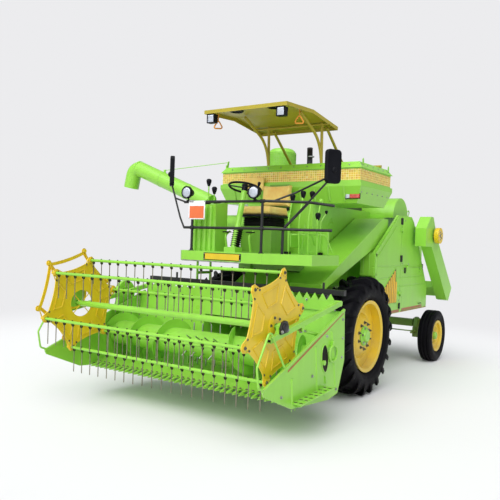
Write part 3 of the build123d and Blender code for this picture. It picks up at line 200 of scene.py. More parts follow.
class PaintSettings(bpy.types.PropertyGroup):
    """Colours of the machine's paints and plastics."""

    green: FloatVectorProperty(
        name="Machine green", description="Main body paint", subtype="COLOR", default=linear("#8ccd40")
    )
    yellow: FloatVectorProperty(
        name="Wheel yellow", description="Wheels, roof and reel plates", subtype="COLOR", default=linear("#e2c020")
    )
    roof: FloatVectorProperty(
        name="Roof yellow", description="Roof sheet and posts", subtype="COLOR", default=linear("#a8981f")
    )
    black: FloatVectorProperty(
        name="Black paint", description="Rails and cross bar", subtype="COLOR", default=linear("#0c0d10")
    )
    orange: FloatVectorProperty(
        name="Orange lines", description="Lines along walls and guards", subtype="COLOR", default=linear("#a0601c")
    )
    vinyl: FloatVectorProperty(
        name="Seat cover", description="Seat vinyl", subtype="COLOR", default=linear("#e4cf74")
    )


class TyreSettings(bpy.types.PropertyGroup):
    """Tread of the driven front tyres."""

    lug_count: IntProperty(name="Lugs a side", description="Bars on each half of the tread", default=20, min=8)
    lug_height: FloatProperty(
        name="Lug height", description="Height of a bar at the crown", default=0.040, unit="LENGTH"
    )


class HeaderSettings(bpy.types.PropertyGroup):
    """Repeating parts of the cutting table."""

    blade_pitch: FloatProperty(
        name="Blade pitch", description="Width of one knife section", default=0.0762, unit="LENGTH"
    )
    tooth_pitch: FloatProperty(
        name="Strip tooth pitch", description="Spacing of the saw-edged strip", default=0.096, unit="LENGTH"
    )
    tines_a_bar: IntProperty(name="Tines a bar", description="Spring tines on each reel bar", default=20, min=4)


class HarvesterSettings(bpy.types.PropertyGroup):
    """Everything a user would change."""

    paint: PointerProperty(type=PaintSettings)
    tyre: PointerProperty(type=TyreSettings)
    header: PointerProperty(type=HeaderSettings)


def settings():
    return bpy.context.scene.harvester


# Places round an axle ------------------------------------------------------------------------


WHOLE_TURN = 2 * math.pi


def round_angles(count, start=0.0):
    return [start + WHOLE_TURN * i / count for i in range(count)]


def polar(centre, radius, angle, y=0):
    """A place round an axle that runs across the machine."""
    return (centre[0] + radius * math.cos(angle), y, centre[2] + radius * math.sin(angle))


def bar_angle(number):
    """Angle of a tine bar round the reel's shaft; bars are numbered from 0."""
    return math.radians(FIRST_BAR - 60 * number)


# Node helpers --------------------------------------------------------------------------------


def fill(tree, node, **inputs):
    """Links or sets a node's inputs: i0 is the first one, and Base_Color the one labelled so."""
    for key, value in inputs.items():
        socket = node.inputs[int(key[1:])] if key[1:].isdigit() else node.inputs[key.replace("_", " ")]
        if isinstance(value, bpy.types.NodeSocket):
            tree.links.new(value, socket)
        elif isinstance(value, tuple) and len(value) == 3 and socket.type == "RGBA":
            socket.default_value = (*value, 1)
        else:
            socket.default_value = value
    return node


def put(tree, kind, options=None, **inputs):
    """One node, with its options set and its inputs linked or filled."""
    node = tree.nodes.new(kind)
    for name, value in (options or {}).items():
        setattr(node, name, value)
    return fill(tree, node, **inputs)


def reckon(tree, kind, a, b=0.5, clamp=False):
    return put(tree, "ShaderNodeMath", {"operation": kind, "use_clamp": clamp}, i0=a, i1=b).outputs[0]


def vectors(tree, kind, a, b=(0.0, 0.0, 0.0)):
    return put(tree, "ShaderNodeVectorMath", {"operation": kind}, i0=a, i1=b).outputs[0]


def mixed(tree, factor, a, b, kind="MIX"):
    options = {"data_type": "RGBA", "blend_type": kind}
    return put(tree, "ShaderNodeMix", options, i0=factor, i6=a, i7=b).outputs[2]


def ranged(tree, value, low, high, to_low=0.0, to_high=1.0, smooth=False):
    options = {"interpolation_type": "SMOOTHSTEP" if smooth else "LINEAR"}
    node = put(tree, "ShaderNodeMapRange", options, i0=value, i1=low, i2=high, i3=to_low, i4=to_high)
    return node.outputs[0]


def noise(tree, where, scale, detail=3.0, rough=0.55):
    node = put(tree, "ShaderNodeTexNoise", Vector=where, Scale=scale, Detail=detail, Roughness=rough)
    return node.outputs[0]


def here(tree):
    """Position on the piece, in metres of the shared frame."""
    return put(tree, "ShaderNodeTexCoord").outputs["Object"]


def ramp(tree, value, stops, constant=False):
    node = put(tree, "ShaderNodeValToRGB", i0=value)
    node.color_ramp.interpolation = "CONSTANT" if constant else "LINEAR"
    while len(node.color_ramp.elements) < len(stops):
        node.color_ramp.elements.new(0.5)
    for element, (place, colour) in zip(node.color_ramp.elements, stops):
        element.position = place
        element.color = (*colour, 1)
    return node.outputs[0]


def effect(name, inputs, outputs):
    """An empty shader group with named sockets, and its two ends."""
    tree = bpy.data.node_groups.new(name, "ShaderNodeTree")
    for label, kind, value in inputs:
        socket = tree.interface.new_socket(label, in_out="INPUT", socket_type=kind)
        socket.default_value = value
    for label, kind in outputs:
        tree.interface.new_socket(label, in_out="OUTPUT", socket_type=kind)
    return tree, put(tree, "NodeGroupInput").outputs, put(tree, "NodeGroupOutput")


def use(tree, name, **inputs):
    return put(tree, "ShaderNodeGroup", {"node_tree": bpy.data.node_groups[name]}, **inputs).outputs


NUMBER, VECTOR, COLOUR = "NodeSocketFloat", "NodeSocketVector", "NodeSocketColor"


def build_effects():
    """Shader groups that the finishes share."""
    # Sprayed coat: slow fade over a panel, fine orange peel, scattered specks.
    inputs = [("Colour", COLOUR, (0.5, 0.5, 0.5, 1)), ("Fade", NUMBER, 0.12), ("Gloss", NUMBER, 0.35)]
    tree, given, end = effect("Sprayed coat", inputs, [("Colour", COLOUR), ("Roughness", NUMBER), ("Height", NUMBER)])
    place = here(tree)
    slow = noise(tree, place, 1.7, 4.0)
    streak = noise(tree, vectors(tree, "MULTIPLY", place, (9.0, 9.0, 1.2)), 1.0, 3.0)
    fine = noise(tree, place, 260.0, 2.0)
    speck = ranged(tree, noise(tree, place, 95.0, 1.0), 0.70, 0.76)
    wave = reckon(tree, "ADD", ranged(tree, slow, 0.3, 0.7, -0.6, 0.6), ranged(tree, streak, 0.3, 0.7, -0.4, 0.4))
    value = reckon(tree, "ADD", reckon(tree, "MULTIPLY", wave, given["Fade"]), 1.0)
    hue = put(tree, "ShaderNodeHueSaturation", Color=given["Colour"], Value=value)
    speckled = mixed(tree, reckon(tree, "MULTIPLY", speck, 0.10), hue.outputs[0], (0.25, 0.22, 0.15))
    rough = reckon(tree, "ADD", given["Gloss"], ranged(tree, slow, 0.3, 0.7, -0.05, 0.10))
    fill(tree, end, i0=speckled, i1=rough, i2=fine)

    # Field dust: thick near the ground and on what faces up, broken by noise.
    inputs = [("Reach", NUMBER, 0.9), ("Ground", NUMBER, 0.5), ("Top", NUMBER, 0.2)]
    tree, given, end = effect("Field dust", inputs, [("Mask", NUMBER)])
    place = here(tree)
    z = put(tree, "ShaderNodeSeparateXYZ", i0=place).outputs[2]
    broken = ranged(tree, noise(tree, place, 5.0, 6.0, 0.65), 0.35, 0.70)
    near = reckon(tree, "MULTIPLY", ranged(tree, z, given["Reach"], 0.0, smooth=True), given["Ground"])
    facing = put(tree, "ShaderNodeSeparateXYZ", i0=put(tree, "ShaderNodeNewGeometry").outputs["Normal"]).outputs[2]
    upper = reckon(tree, "MULTIPLY", ranged(tree, facing, 0.6, 0.98), given["Top"])
    total = reckon(tree, "MULTIPLY", reckon(tree, "ADD", near, upper), reckon(tree, "ADD", broken, 0.35), True)
    fill(tree, end, i0=total)

    # Worn edge and highlight: where a rounded normal leaves the flat one. The mask lightens edges, partly as rubbed
    # wear and partly as a painted highlight.
    tree, given, end = effect("Rubbed edge", [("Width", NUMBER, 0.006), ("Amount", NUMBER, 0.5)], [("Mask", NUMBER)])
    rounded = put(tree, "ShaderNodeBevel", {"samples": 4}, Radius=given["Width"]).outputs[0]
    flat = put(tree, "ShaderNodeNewGeometry").outputs["Normal"]
    match = put(tree, "ShaderNodeVectorMath", {"operation": "DOT_PRODUCT"}, i0=rounded, i1=flat).outputs["Value"]
    patchy = ranged(tree, noise(tree, here(tree), 22.0, 4.0), 0.38, 0.62)
    edge = reckon(tree, "MULTIPLY", ranged(tree, match, 0.995, 0.90), patchy)
    fill(tree, end, i0=reckon(tree, "MULTIPLY", edge, given["Amount"], True))

    # Box zone and round zone: masks of a place on the machine.
    inputs = [("Low", VECTOR, (0, 0, 0)), ("High", VECTOR, (1, 1, 1))]
    tree, given, end = effect("Box zone", inputs, [("Mask", NUMBER)])
    place = here(tree)
    over = vectors(tree, "SUBTRACT", place, given["Low"])
    inside = vectors(tree, "MINIMUM", over, vectors(tree, "SUBTRACT", given["High"], place))
    parts = put(tree, "ShaderNodeSeparateXYZ", i0=inside).outputs
    least = reckon(tree, "MINIMUM", reckon(tree, "MINIMUM", parts[0], parts[1]), parts[2])
    fill(tree, end, i0=reckon(tree, "GREATER_THAN", least, 0.0))

    inputs = [("Centre", VECTOR, (0, 0, 0)), ("Across", VECTOR, (1, 0, 1)), ("Radius", NUMBER, 0.1)]
    tree, given, end = effect("Round zone", inputs, [("Mask", NUMBER), ("Distance", NUMBER)])
    away = vectors(tree, "MULTIPLY", vectors(tree, "SUBTRACT", here(tree), given["Centre"]), given["Across"])
    reach = put(tree, "ShaderNodeVectorMath", {"operation": "LENGTH"}, i0=away).outputs["Value"]
    fill(tree, end, i0=reckon(tree, "LESS_THAN", reach, given["Radius"]), i1=reach)

    # Brushed steel: long fine scratches along one direction.
    inputs = [("Stretch", VECTOR, (4.0, 300.0, 300.0))]
    tree, given, end = effect("Brushed steel", inputs, [("Tone", NUMBER), ("Height", NUMBER)])
    scratch = noise(tree, vectors(tree, "MULTIPLY", here(tree), given["Stretch"]), 1.0, 2.0)
    cloud = noise(tree, here(tree), 12.0, 3.0)
    tone = reckon(tree, "ADD", ranged(tree, scratch, 0.3, 0.7, -0.08, 0.08), cloud)
    fill(tree, end, i0=tone, i1=scratch)

    # Leather grain: small cells for seat vinyl and moulded plastic.
    tree, given, end = effect("Fine grain", [("Scale", NUMBER, 300.0)], [("Height", NUMBER)])
    cells = put(tree, "ShaderNodeTexVoronoi", {"feature": "SMOOTH_F1"}, Vector=here(tree), Scale=given["Scale"])
    fill(tree, end, i0=cells.outputs[0])


def fresh(name):
    """A material with only a Principled shader."""
    material = bpy.data.materials.new(name)
    material.use_nodes = True
    tree = material.node_tree
    tree.nodes.clear()
    shader = put(tree, "ShaderNodeBsdfPrincipled")
    put(tree, "ShaderNodeOutputMaterial", Surface=shader.outputs[0])
    return material, tree, shader


def bumped(tree, shader, height, distance):
    node = put(tree, "ShaderNodeBump", Strength=1.0, Distance=distance, Height=height)
    fill(tree, shader, Normal=node.outputs[0])


def metres(place):
    return tuple(at(*place))


def coated(name, colour, gloss=0.32, fade=0.10, dust=0.35, reach=0.9, top=0.12, edge=0.35, zones=(), lines=None):
    """Sprayed paint. zones are (mask maker, colour) pairs laid over the main colour in turn; edge sets how much the
    edges are lightened, as wear and as a painted highlight.
    """
    material, tree, shader = fresh(name)
    base = colour
    for maker, other in zones:
        base = mixed(tree, maker(tree), base, other)
    coat = use(tree, "Sprayed coat", Fade=fade, Gloss=gloss, Colour=base)
    # Edges mixed towards a pale tone: partly rubbed wear, partly a painted highlight along them.
    edge_wear_and_highlight = use(tree, "Rubbed edge", Width=0.007, Amount=edge)[0]
    edge_lit_coat = mixed(tree, edge_wear_and_highlight, coat[0], (0.50, 0.50, 0.36))
    mask = use(tree, "Field dust", Reach=reach, Ground=dust, Top=top)[0]
    fill(tree, shader, Base_Color=mixed(tree, mask, edge_lit_coat, linear("#a8956d")))
    rough = reckon(tree, "ADD", coat[1], reckon(tree, "MULTIPLY", mask, 0.35), True)
    fill(tree, shader, Roughness=rough)
    height, distance = coat[2], 0.0004
    if lines:
        height = reckon(tree, "ADD", reckon(tree, "MULTIPLY", coat[2], 0.05), lines(tree))
        distance = 0.006
    bumped(tree, shader, height, distance)
    fill(tree, shader, Coat_Weight=0.12, Coat_Roughness=0.18)
    return material


def box_zone(low, high):
    return lambda tree: use(tree, "Box zone", Low=metres(low), High=metres(high))[0]


def round_zone(centre, radius, across=(1, 0, 1)):
    return lambda tree: use(tree, "Round zone", Centre=metres(centre), Across=across, Radius=radius / 1000)[0]


def not_in(maker):
    return lambda tree: reckon(tree, "SUBTRACT", 1.0, maker(tree))


def metal(name, colour, rough, stretch=(4.0, 300.0, 300.0), metallic=1.0, tint=0.5):
    material, tree, shader = fresh(name)
    brushed = use(tree, "Brushed steel", Stretch=stretch)
    dark = tuple(c * tint for c in colour)
    fill(tree, shader, Base_Color=ramp(tree, brushed[0], [(0.3, dark), (0.65, colour)]))
    fill(tree, shader, Roughness=ranged(tree, brushed[0], 0.2, 0.8, rough + 0.15, rough), Metallic=metallic)
    bumped(tree, shader, brushed[1], 0.0002)
    return material


def moulded(name, colour, rough=0.45, grain=350.0, depth=0.0004, dust=0.15, reach=1.2):
    """Rubber or moulded plastic with a fine grain and dust in it."""
    material, tree, shader = fresh(name)
    cloud = noise(tree, here(tree), 7.0, 4.0)
    pale = tuple(min(1.0, c * 1.5 + 0.003) for c in colour)
    base = ramp(tree, cloud, [(0.35, colour), (0.75, pale)])
    mask = use(tree, "Field dust", Reach=reach, Ground=dust, Top=dust * 0.5)[0]
    fill(tree, shader, Base_Color=mixed(tree, mask, base, linear("#8d7d5d")))
    fill(tree, shader, Roughness=ranged(tree, cloud, 0.3, 0.7, rough - 0.06, rough + 0.08), Specular_IOR_Level=0.15)
    bumped(tree, shader, use(tree, "Fine grain", Scale=grain)[0], depth)
    return material


def lens(name, colour, axis, pitch=0.012, metallic=0.0):
    """Ribbed lamp lens; axis picks the direction the ribs repeat in."""
    material, tree, shader = fresh(name)
    along = put(tree, "ShaderNodeSeparateXYZ", i0=here(tree)).outputs[axis]
    rib = reckon(tree, "SINE", reckon(tree, "MULTIPLY", along, 2 * math.pi / pitch))
    patch = noise(tree, here(tree), 30.0, 2.0)
    pale = tuple(min(1.0, c * 1.25 + 0.05) for c in colour)
    fill(tree, shader, Base_Color=ramp(tree, patch, [(0.3, colour), (0.7, pale)]))
    fill(tree, shader, Roughness=ranged(tree, patch, 0.2, 0.8, 0.05, 0.15))
    fill(tree, shader, Metallic=metallic, Coat_Weight=1.0)
    bumped(tree, shader, rib, 0.0015)
    return material


BLOCK_WIDTH, BLOCK_HEIGHT = 0.032, 0.0283


def tank_band(tree):
    """Colours of the patterned strip round the tank: rows of small plain blocks."""
    parts = put(tree, "ShaderNodeSeparateXYZ", i0=here(tree)).outputs
    along = reckon(tree, "SUBTRACT", parts[0], parts[1])
    cell = put(tree, "ShaderNodeCombineXYZ", i0=along, i2=parts[2]).outputs[0]
    snapped = vectors(tree, "SNAP", cell, (BLOCK_WIDTH, BLOCK_WIDTH, BLOCK_HEIGHT))
    pick = put(tree, "ShaderNodeTexWhiteNoise", {"noise_dimensions": "3D"}, Vector=snapped).outputs[0]
    tones = ((0.0, "#dcb838"), (0.34, "#cfa030"), (0.56, "#d8c040"), (0.76, "#c4ac30"), (0.97, "#d8c878"))
    blocks = ramp(tree, pick, [(level, linear(code)) for level, code in tones], constant=True)
    flat = put(tree, "ShaderNodeCombineXYZ", i0=along, i1=parts[2]).outputs[0]
    sizes = {"Mortar_Size": 0.002, "Brick_Width": BLOCK_WIDTH, "Row_Height": BLOCK_HEIGHT}
    brick = put(tree, "ShaderNodeTexBrick", {"offset": 0.0}, Vector=flat, Scale=1.0, **sizes)
    return mixed(tree, brick.outputs["Fac"], blocks, linear("#f3e6a0"))


FINISHES = {}


def build_finishes():
    paint = settings().paint
    chosen = (paint.green, paint.yellow, paint.roof, paint.black, paint.orange, paint.vinyl)
    green, yellow, roof, black, orange, vinyl = (tuple(c) for c in chosen)
    dark_green, rib_yellow = tuple(c * 0.55 for c in green), tuple(c * 0.93 for c in yellow)
    shelf = FINISHES
    shelf["green"] = coated("Machine green", green, fade=0.08, dust=0.30, reach=0.75, top=0.05)
    shelf["header green"] = coated("Header green", green, fade=0.10, dust=0.35, reach=0.45, top=0.08, edge=0.6)
    shelf["yellow"] = coated("Yellow paint", yellow, gloss=0.30, fade=0.10, dust=0.3, reach=0.6, top=0.05)
    shelf["roof"] = coated("Roof yellow", roof, gloss=0.45, fade=0.08, dust=0.0, top=0.05)
    shelf["black"] = coated("Black paint", black, gloss=0.42, fade=0.2, dust=0.08, reach=0.8, top=0.02, edge=0.03)
    shelf["orange"] = coated("Orange line", orange, gloss=0.4, fade=0.25, dust=0.2)
    shelf["board white"] = coated("Board white", linear("#e9e9ee"), gloss=0.35, fade=0.05, dust=0.0)
    shelf["board orange"] = coated("Board orange", linear("#dd6a34"), gloss=0.35, fade=0.08, dust=0.0)
    shelf["iron"] = coated("Dark iron", linear("#2e2f2a"), gloss=0.5, fade=0.35, dust=0.4, reach=1.2, edge=0.5)
    shelf["frame green"] = coated("Frame green", dark_green, gloss=0.42, fade=0.2, dust=0.5, reach=1.1)
    shelf["steel"] = metal("Bare steel", linear("#b9bbb8"), 0.30)
    shelf["blade"] = metal("Blade steel", linear("#8f938f"), 0.38, (300.0, 4.0, 300.0), tint=0.45)
    shelf["wire"] = metal("Tine wire", linear("#2c231d"), 0.45, (300.0, 300.0, 9.0), metallic=0.4, tint=0.5)
    shelf["mirror"] = metal("Mirror glass", linear("#c9d0d6"), 0.04, (40.0, 40.0, 2.0), tint=0.9)
    shelf["scorched"] = scorched_steel()
    shelf["tyre"] = tyre_rubber()
    shelf["plastic"] = moulded("Black plastic", linear("#08090f"), 0.42, 420.0, 0.0002, dust=0.05)
    # Soft rubber; the same dark finish fills holes, slots, openings and open tube ends as painted shade.
    shelf["rubber"] = moulded("Soft rubber and hole shade", linear("#0b0b0d"), 0.62, 260.0, 0.0004)
    shelf["belt"] = moulded("Drive belt", linear("#2a2622"), 0.68, 500.0, 0.0003, dust=0.3)
    shelf["loop"] = moulded("Hand loop", linear("#d08c38"), 0.45, 300.0, 0.0003, dust=0.0)
    shelf["vinyl"] = seat_vinyl(vinyl)
    shelf["clear lens"] = lens("Clear lens", linear("#c3cad6"), 1, 0.014, metallic=0.55)
    shelf["red lens"] = lens("Red lens", linear("#c22a18"), 2)
    shelf["amber lens"] = lens("Amber lens", linear("#e07818"), 2)
    shelf["front wheel"] = coated(
        "Front wheel paint", yellow, gloss=0.33, fade=0.14, dust=0.45, reach=1.5, edge=0.6,
        zones=[(round_zone(FRONT_AXIS, 118), green)],
    )
    shelf["rear wheel"] = coated(
        "Rear wheel paint", yellow, gloss=0.33, fade=0.14, dust=0.5, reach=0.9, edge=0.6,
        zones=[(round_zone(REAR_AXIS, 72), green)],
    )
    shelf["reel"] = coated(
        "Reel paint", green, fade=0.12, dust=0.0, edge=0.25,
        zones=[(not_in(box_zone((0, -1297, 0), (9000, 1297, 9000))), yellow), (round_zone(REEL_AXIS, 33), green)],
    )
    shelf["reel ribs"] = coated("Reel rib paint", rib_yellow, gloss=0.30, fade=0.12, dust=0.0, edge=0.1)
    shelf["tank"] = tank_paint(green)
    shelf["vented guard"] = coated("Vent yellow", linear("#dcb22c"), gloss=0.45, fade=0.2, dust=0.3, reach=1.6)
    # Dark brown sheet behind the vent ribs: painted shade in the gaps between them.
    shelf["vent gap"] = coated("Vent gap", linear("#4a3a16"), gloss=0.5, fade=0.2, dust=0.2, reach=1.6, edge=0.1)
    shelf["cover panels"] = coated("Panel green", green, fade=0.08, dust=0.30, top=0.05, lines=pressed_lines)
    for number in range(6):
        centre = polar(REEL_AXIS, REEL_CIRCLE, bar_angle(number))
        shelf[f"bar {number + 1}"] = coated(
            f"Reel bar {number + 1}", linear("#6b6252"), fade=0.15, dust=0.0, edge=0.4,
            zones=[
                (round_zone(centre, 18.5), green),
                (box_zone((0, -1600, 0), (9000, -1320, 9000)), yellow),
            ],
        )


def pressed_lines(tree):
    """Shallow pressed grooves across a side panel at three heights."""
    z = put(tree, "ShaderNodeSeparateXYZ", i0=here(tree)).outputs[2]
    total = 0.5
    for height in (1.44, 1.61, 1.31):
        away = reckon(tree, "ABSOLUTE", reckon(tree, "SUBTRACT", z, height))
        total = reckon(tree, "ADD", total, ranged(tree, away, 0.004, 0.014, -1.0, 0.0, smooth=True))
    return total


def tank_paint(green):
    """Green with the patterned strip on the outside of the band."""
    material = coated("Tank paint", green, fade=0.08, dust=0.0, top=0.05)
    tree = material.node_tree
    shader = next(n for n in tree.nodes if n.type == "BSDF_PRINCIPLED")
    below = shader.inputs["Base Color"].links[0].from_socket
    level = box_zone((-900, -1200, 2706), (400, 1200, 2846))(tree)
    outside = not_in(box_zone((-760, -1050, 2600), (220, 1050, 2900)))(tree)
    mask = reckon(tree, "MULTIPLY", level, outside)
    fill(tree, shader, Base_Color=mixed(tree, mask, below, tank_band(tree)))
    return material


def tyre_rubber():
    """Black rubber, a little uneven in tone, dustier near the ground."""
    material, tree, shader = fresh("Tyre rubber")
    place = here(tree)
    cloud = noise(tree, place, 9.0, 6.0, 0.6)
    base = ramp(tree, cloud, [(0.3, linear("#040408")), (0.75, linear("#0b0a10"))])
    mask = use(tree, "Field dust", Reach=0.8, Ground=0.12, Top=0.03)[0]
    fill(tree, shader, Base_Color=mixed(tree, mask, base, linear("#2e2822")))
    fill(tree, shader, Roughness=ranged(tree, cloud, 0.3, 0.7, 0.48, 0.66), Specular_IOR_Level=0.1)
    height = reckon(tree, "ADD", cloud, noise(tree, place, 160.0, 3.0))
    bumped(tree, shader, height, 0.002)
    return material


def scorched_steel():
    """Exhaust steel: blued near the silencer, rusty at the seams, sooty at the mouth."""
    material, tree, shader = fresh("Scorched steel")
    place = here(tree)
    z = put(tree, "ShaderNodeSeparateXYZ", i0=place).outputs[2]
    uneven = ranged(tree, noise(tree, place, 6.0, 5.0), 0.3, 0.7, -0.12, 0.12)
    hot = reckon(tree, "ADD", ranged(tree, z, 2.4, 3.5), uneven)
    stops = [(0.0, "#5a4a3a"), (0.35, "#7a6450"), (0.6, "#4c4a55"), (0.9, "#2c2624")]
    burnt = ramp(tree, hot, [(level, linear(code)) for level, code in stops])
    fill(tree, shader, Base_Color=burnt)
    fill(tree, shader, Roughness=ranged(tree, noise(tree, place, 40.0, 4.0), 0.3, 0.7, 0.45, 0.75), Metallic=0.75)
    bumped(tree, shader, noise(tree, place, 120.0, 4.0), 0.001)
    return material


def seat_vinyl(colour):
    """Seat cover: leather grain, soft creases and a slow change of tone."""
    material, tree, shader = fresh("Seat vinyl")
    place = here(tree)
    slow = noise(tree, place, 9.0, 5.0)
    dark = (colour[0] * 0.92, colour[1] * 0.70, colour[2] * 0.50)
    fill(tree, shader, Base_Color=ramp(tree, slow, [(0.3, dark), (0.7, colour)]))
    fill(tree, shader, Roughness=ranged(tree, slow, 0.3, 0.7, 0.40, 0.58), Sheen_Weight=0.15)
    crease = noise(tree, vectors(tree, "MULTIPLY", place, (14.0, 5.0, 14.0)), 1.0, 3.0)
    grain = use(tree, "Fine grain", Scale=420.0)[0]
    bumped(tree, shader, reckon(tree, "ADD", grain, reckon(tree, "MULTIPLY", crease, 4.0)), 0.0006)
    return material


CAD_FINISHES = {
    "tyre": ["front_tyre_left", "front_tyre_right", "rear_tyre_left", "rear_tyre_right"],
    "front wheel": ["front_wheel_left", "front_wheel_right"],
    "rear wheel": ["rear_wheel_left", "rear_wheel_right"],
    "frame green": [
        "front_axle", "rear_axle_beam", "steering_knuckle_left", "steering_knuckle_right", "tie_rod", "chassis_frame",
        "seat_base",
    ],
    "green": [
        "thresher_body", "straw_hood", "cooling_housing", "conveyor_housings", "unloading_auger", "operator_platform",
        "steering_column", "control_levers", "slope_cover",
    ],
    "cover panels": ["left_front_door", "right_front_door", "left_rear_flap", "rear_side_panels"],
    "tank": ["grain_tank"],
    "iron": ["straw_walkers", "engine_block"],
    "scorched": ["exhaust_pipe"],
    "black": ["hand_rails", "header_rear_bar"],
    "plastic": ["lamps_and_mirrors", "steering_wheel"],
    "vinyl": ["seat_cushion", "seat_backrest"],
    "roof": ["canopy_roof", "canopy_posts"],
    "yellow": ["tailings_pulley", "control_ring"],
    "header green": [
        "lift_barrels", "reel_lift_barrels", "feeder_house", "header_shell", "header_auger", "header_drive",
        "reel_arms", "knife_bar",
    ],
    "reel": ["reel_frame"],
    "steel": ["lift_rods", "reel_lift_rods"],
}


# Shapes --------------------------------------------------------------------------------------


SIDES = (("left", 1), ("right", -1))
DOWN, UP, BACK, AHEAD = (0, 0, -1), (0, 0, 1), (-1, 0, 0), (1, 0, 0)

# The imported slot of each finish; every other finish is a yellow paint.
SLOTS = {
    "tyre": "black_tyre", "iron": "dark_iron",
    **dict.fromkeys(("green", "header green", "frame green"), "green_paint"),
    **dict.fromkeys(("plastic", "black", "rubber", "vent gap"), "black_paint"),
    **dict.fromkeys(("steel", "blade", "wire", "mirror", "clear lens", "red lens"), "bare_steel"),
    **dict.fromkeys(("vinyl", "loop"), "seat_vinyl"),
}


class Shape:
    """Collects plain solids in machine millimetres, for one mesh piece."""

    def __init__(self):
        self.points, self.faces = [], []

    def loft(self, rings, round_trip=False, caps=True):
        """Skin through rings that have the same number of points."""
        count, total, start = len(rings[0]), len(rings), len(self.points)
        self.points += [Vector(p) for ring in rings for p in ring]
        for r in range(total if round_trip else total - 1):
            a, b = start + r * count, start + ((r + 1) % total) * count
            self.faces += [[a + i, a + (i + 1) % count, b + (i + 1) % count, b + i] for i in range(count)]
        if caps and not round_trip:
            last = start + (total - 1) * count
            self.faces += [[start + i for i in reversed(range(count))], [last + i for i in range(count)]]
        return self

    def prism(self, outline, low, high, axis="y"):
        """A flat outline given thickness along an axis, between two levels in any order."""
        make = {"x": lambda a, b, t: (t, a, b), "y": lambda a, b, t: (a, t, b), "z": lambda a, b, t: (a, b, t)}[axis]
        return self.loft([[make(a, b, t) for a, b in outline] for t in sorted((low, high))])

    def block(self, low, high):
        outline = [(low[0], low[2]), (high[0], low[2]), (high[0], high[2]), (low[0], high[2])]
        return self.prism(outline, low[1], high[1])

    def turned(self, centre, profile, axis="y", sides=32, closed=True):
        """(distance along the axis, radius) pairs turned into a round body."""
        rings = []
        for along, radius in profile:
            ring = []
            for angle in round_angles(sides):
                c, s = radius * math.cos(angle), radius * math.sin(angle)
                offset = {"x": (along, c, s), "y": (c, along, s), "z": (c, s, along)}[axis]
                ring.append(Vector(centre) + Vector(offset))
            rings.append(ring)
        return self.loft(rings, round_trip=not closed, caps=closed)

    def rib(self, ends, foot, crest, face, height, sunk=1):
        """A pressed rib on an upright wall along the machine; the sign of height is the wall's facing."""
        root = face - math.copysign(sunk, height)
        return self.loft([
            [(x - foot, root, z), (x - crest, face + height, z), (x + crest, face + height, z), (x + foot, root, z)]
            for x, z in ends
        ])

    def turn(self, degrees, pivot=(0, 0, 0), goal=None):
        """Turned about the cross axis through a pivot, which then lands on the goal."""
        spin, pivot = Matrix.Rotation(math.radians(degrees), 4, "Y"), Vector(pivot)
        goal = pivot if goal is None else Vector(goal)
        self.points = [spin @ (p - pivot) + goal for p in self.points]
        return self

    def mesh(self, name):
        mesh = bpy.data.meshes.new(name)
        mesh.from_pydata([at(*p) for p in self.points], [], self.faces)
        tool = bmesh.new()
        tool.from_mesh(mesh)
        bmesh.ops.remove_doubles(tool, verts=tool.verts, dist=0.00005)
        bmesh.ops.recalc_face_normals(tool, faces=tool.faces)
        tool.to_mesh(mesh)
        tool.free()
        return mesh


def as_mesh(name, form):
    return form.mesh(name) if isinstance(form, Shape) else form


def show(name, form, finish, body="machine", bevel=0.0, smooth=32, slot=None):
    """Links a shape or mesh, gives it its paint and lets it ride on its body. bevel is in millimetres."""
    mesh = as_mesh(name, form)
    obj = bpy.data.objects.new(name, mesh)
    bpy.context.scene.collection.objects.link(obj)
    if not mesh.materials:
        mesh.materials.append(FINISHES[finish])
    mesh.polygons.foreach_set("use_smooth", [True] * len(mesh.polygons))
    mesh.set_sharp_from_angle(angle=math.radians(smooth))
    if bevel:
        edge = obj.modifiers.new("Rounded edges", "BEVEL")
        edge.width = bevel / 1000
        edge.segments = 2
        edge.limit_method = "ANGLE"
        edge.angle_limit = math.radians(35)
    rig.ride(obj, body)
    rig.slot(obj, slot or SLOTS.get(finish, "yellow_paint"))
    return obj


def blocks(name, corners, finish, body="machine", **look):
    """A piece made of plain boxes, each given by its low and high corner."""
    shape = Shape()
    for low, high in corners:
        shape.block(low, high)
    return show(name, shape, finish, body, **look)


# Geometry trees ------------------------------------------------------------------------------


WHOLE, MATERIAL = "NodeSocketInt", "NodeSocketMaterial"


def start_tree(name, inputs):
    tree = bpy.data.node_groups.new(name, "GeometryNodeTree")
    tree.interface.new_socket("Geometry", in_out="INPUT", socket_type="NodeSocketGeometry")
    for label, kind, value in [*inputs, ("Finish", MATERIAL, None)]:
        socket = tree.interface.new_socket(label, in_out="INPUT", socket_type=kind)
        if value is not None:
            socket.default_value = value
    tree.interface.new_socket("Geometry", in_out="OUTPUT", socket_type="NodeSocketGeometry")
    return tree, put(tree, "NodeGroupInput").outputs


def end_tree(tree, given, geometry):
    real = put(tree, "GeometryNodeRealizeInstances", Geometry=geometry).outputs[0]
    painted = put(tree, "GeometryNodeSetMaterial", Geometry=real, Material=given["Finish"]).outputs[0]
    put(tree, "NodeGroupOutput", i0=painted)


def on_points(tree, given, piece):
    """The piece on every point, its z axis along the point's facing attribute."""
    facing = put(tree, "GeometryNodeInputNamedAttribute", {"data_type": "FLOAT_VECTOR"}, Name="facing").outputs[0]
    turn = put(tree, "FunctionNodeAlignRotationToVector", {"axis": "Z"}, Vector=facing).outputs[0]
    put_on = put(tree, "GeometryNodeInstanceOnPoints", Points=given["Geometry"], Instance=piece, Rotation=turn)
    end_tree(tree, given, put_on.outputs[0])


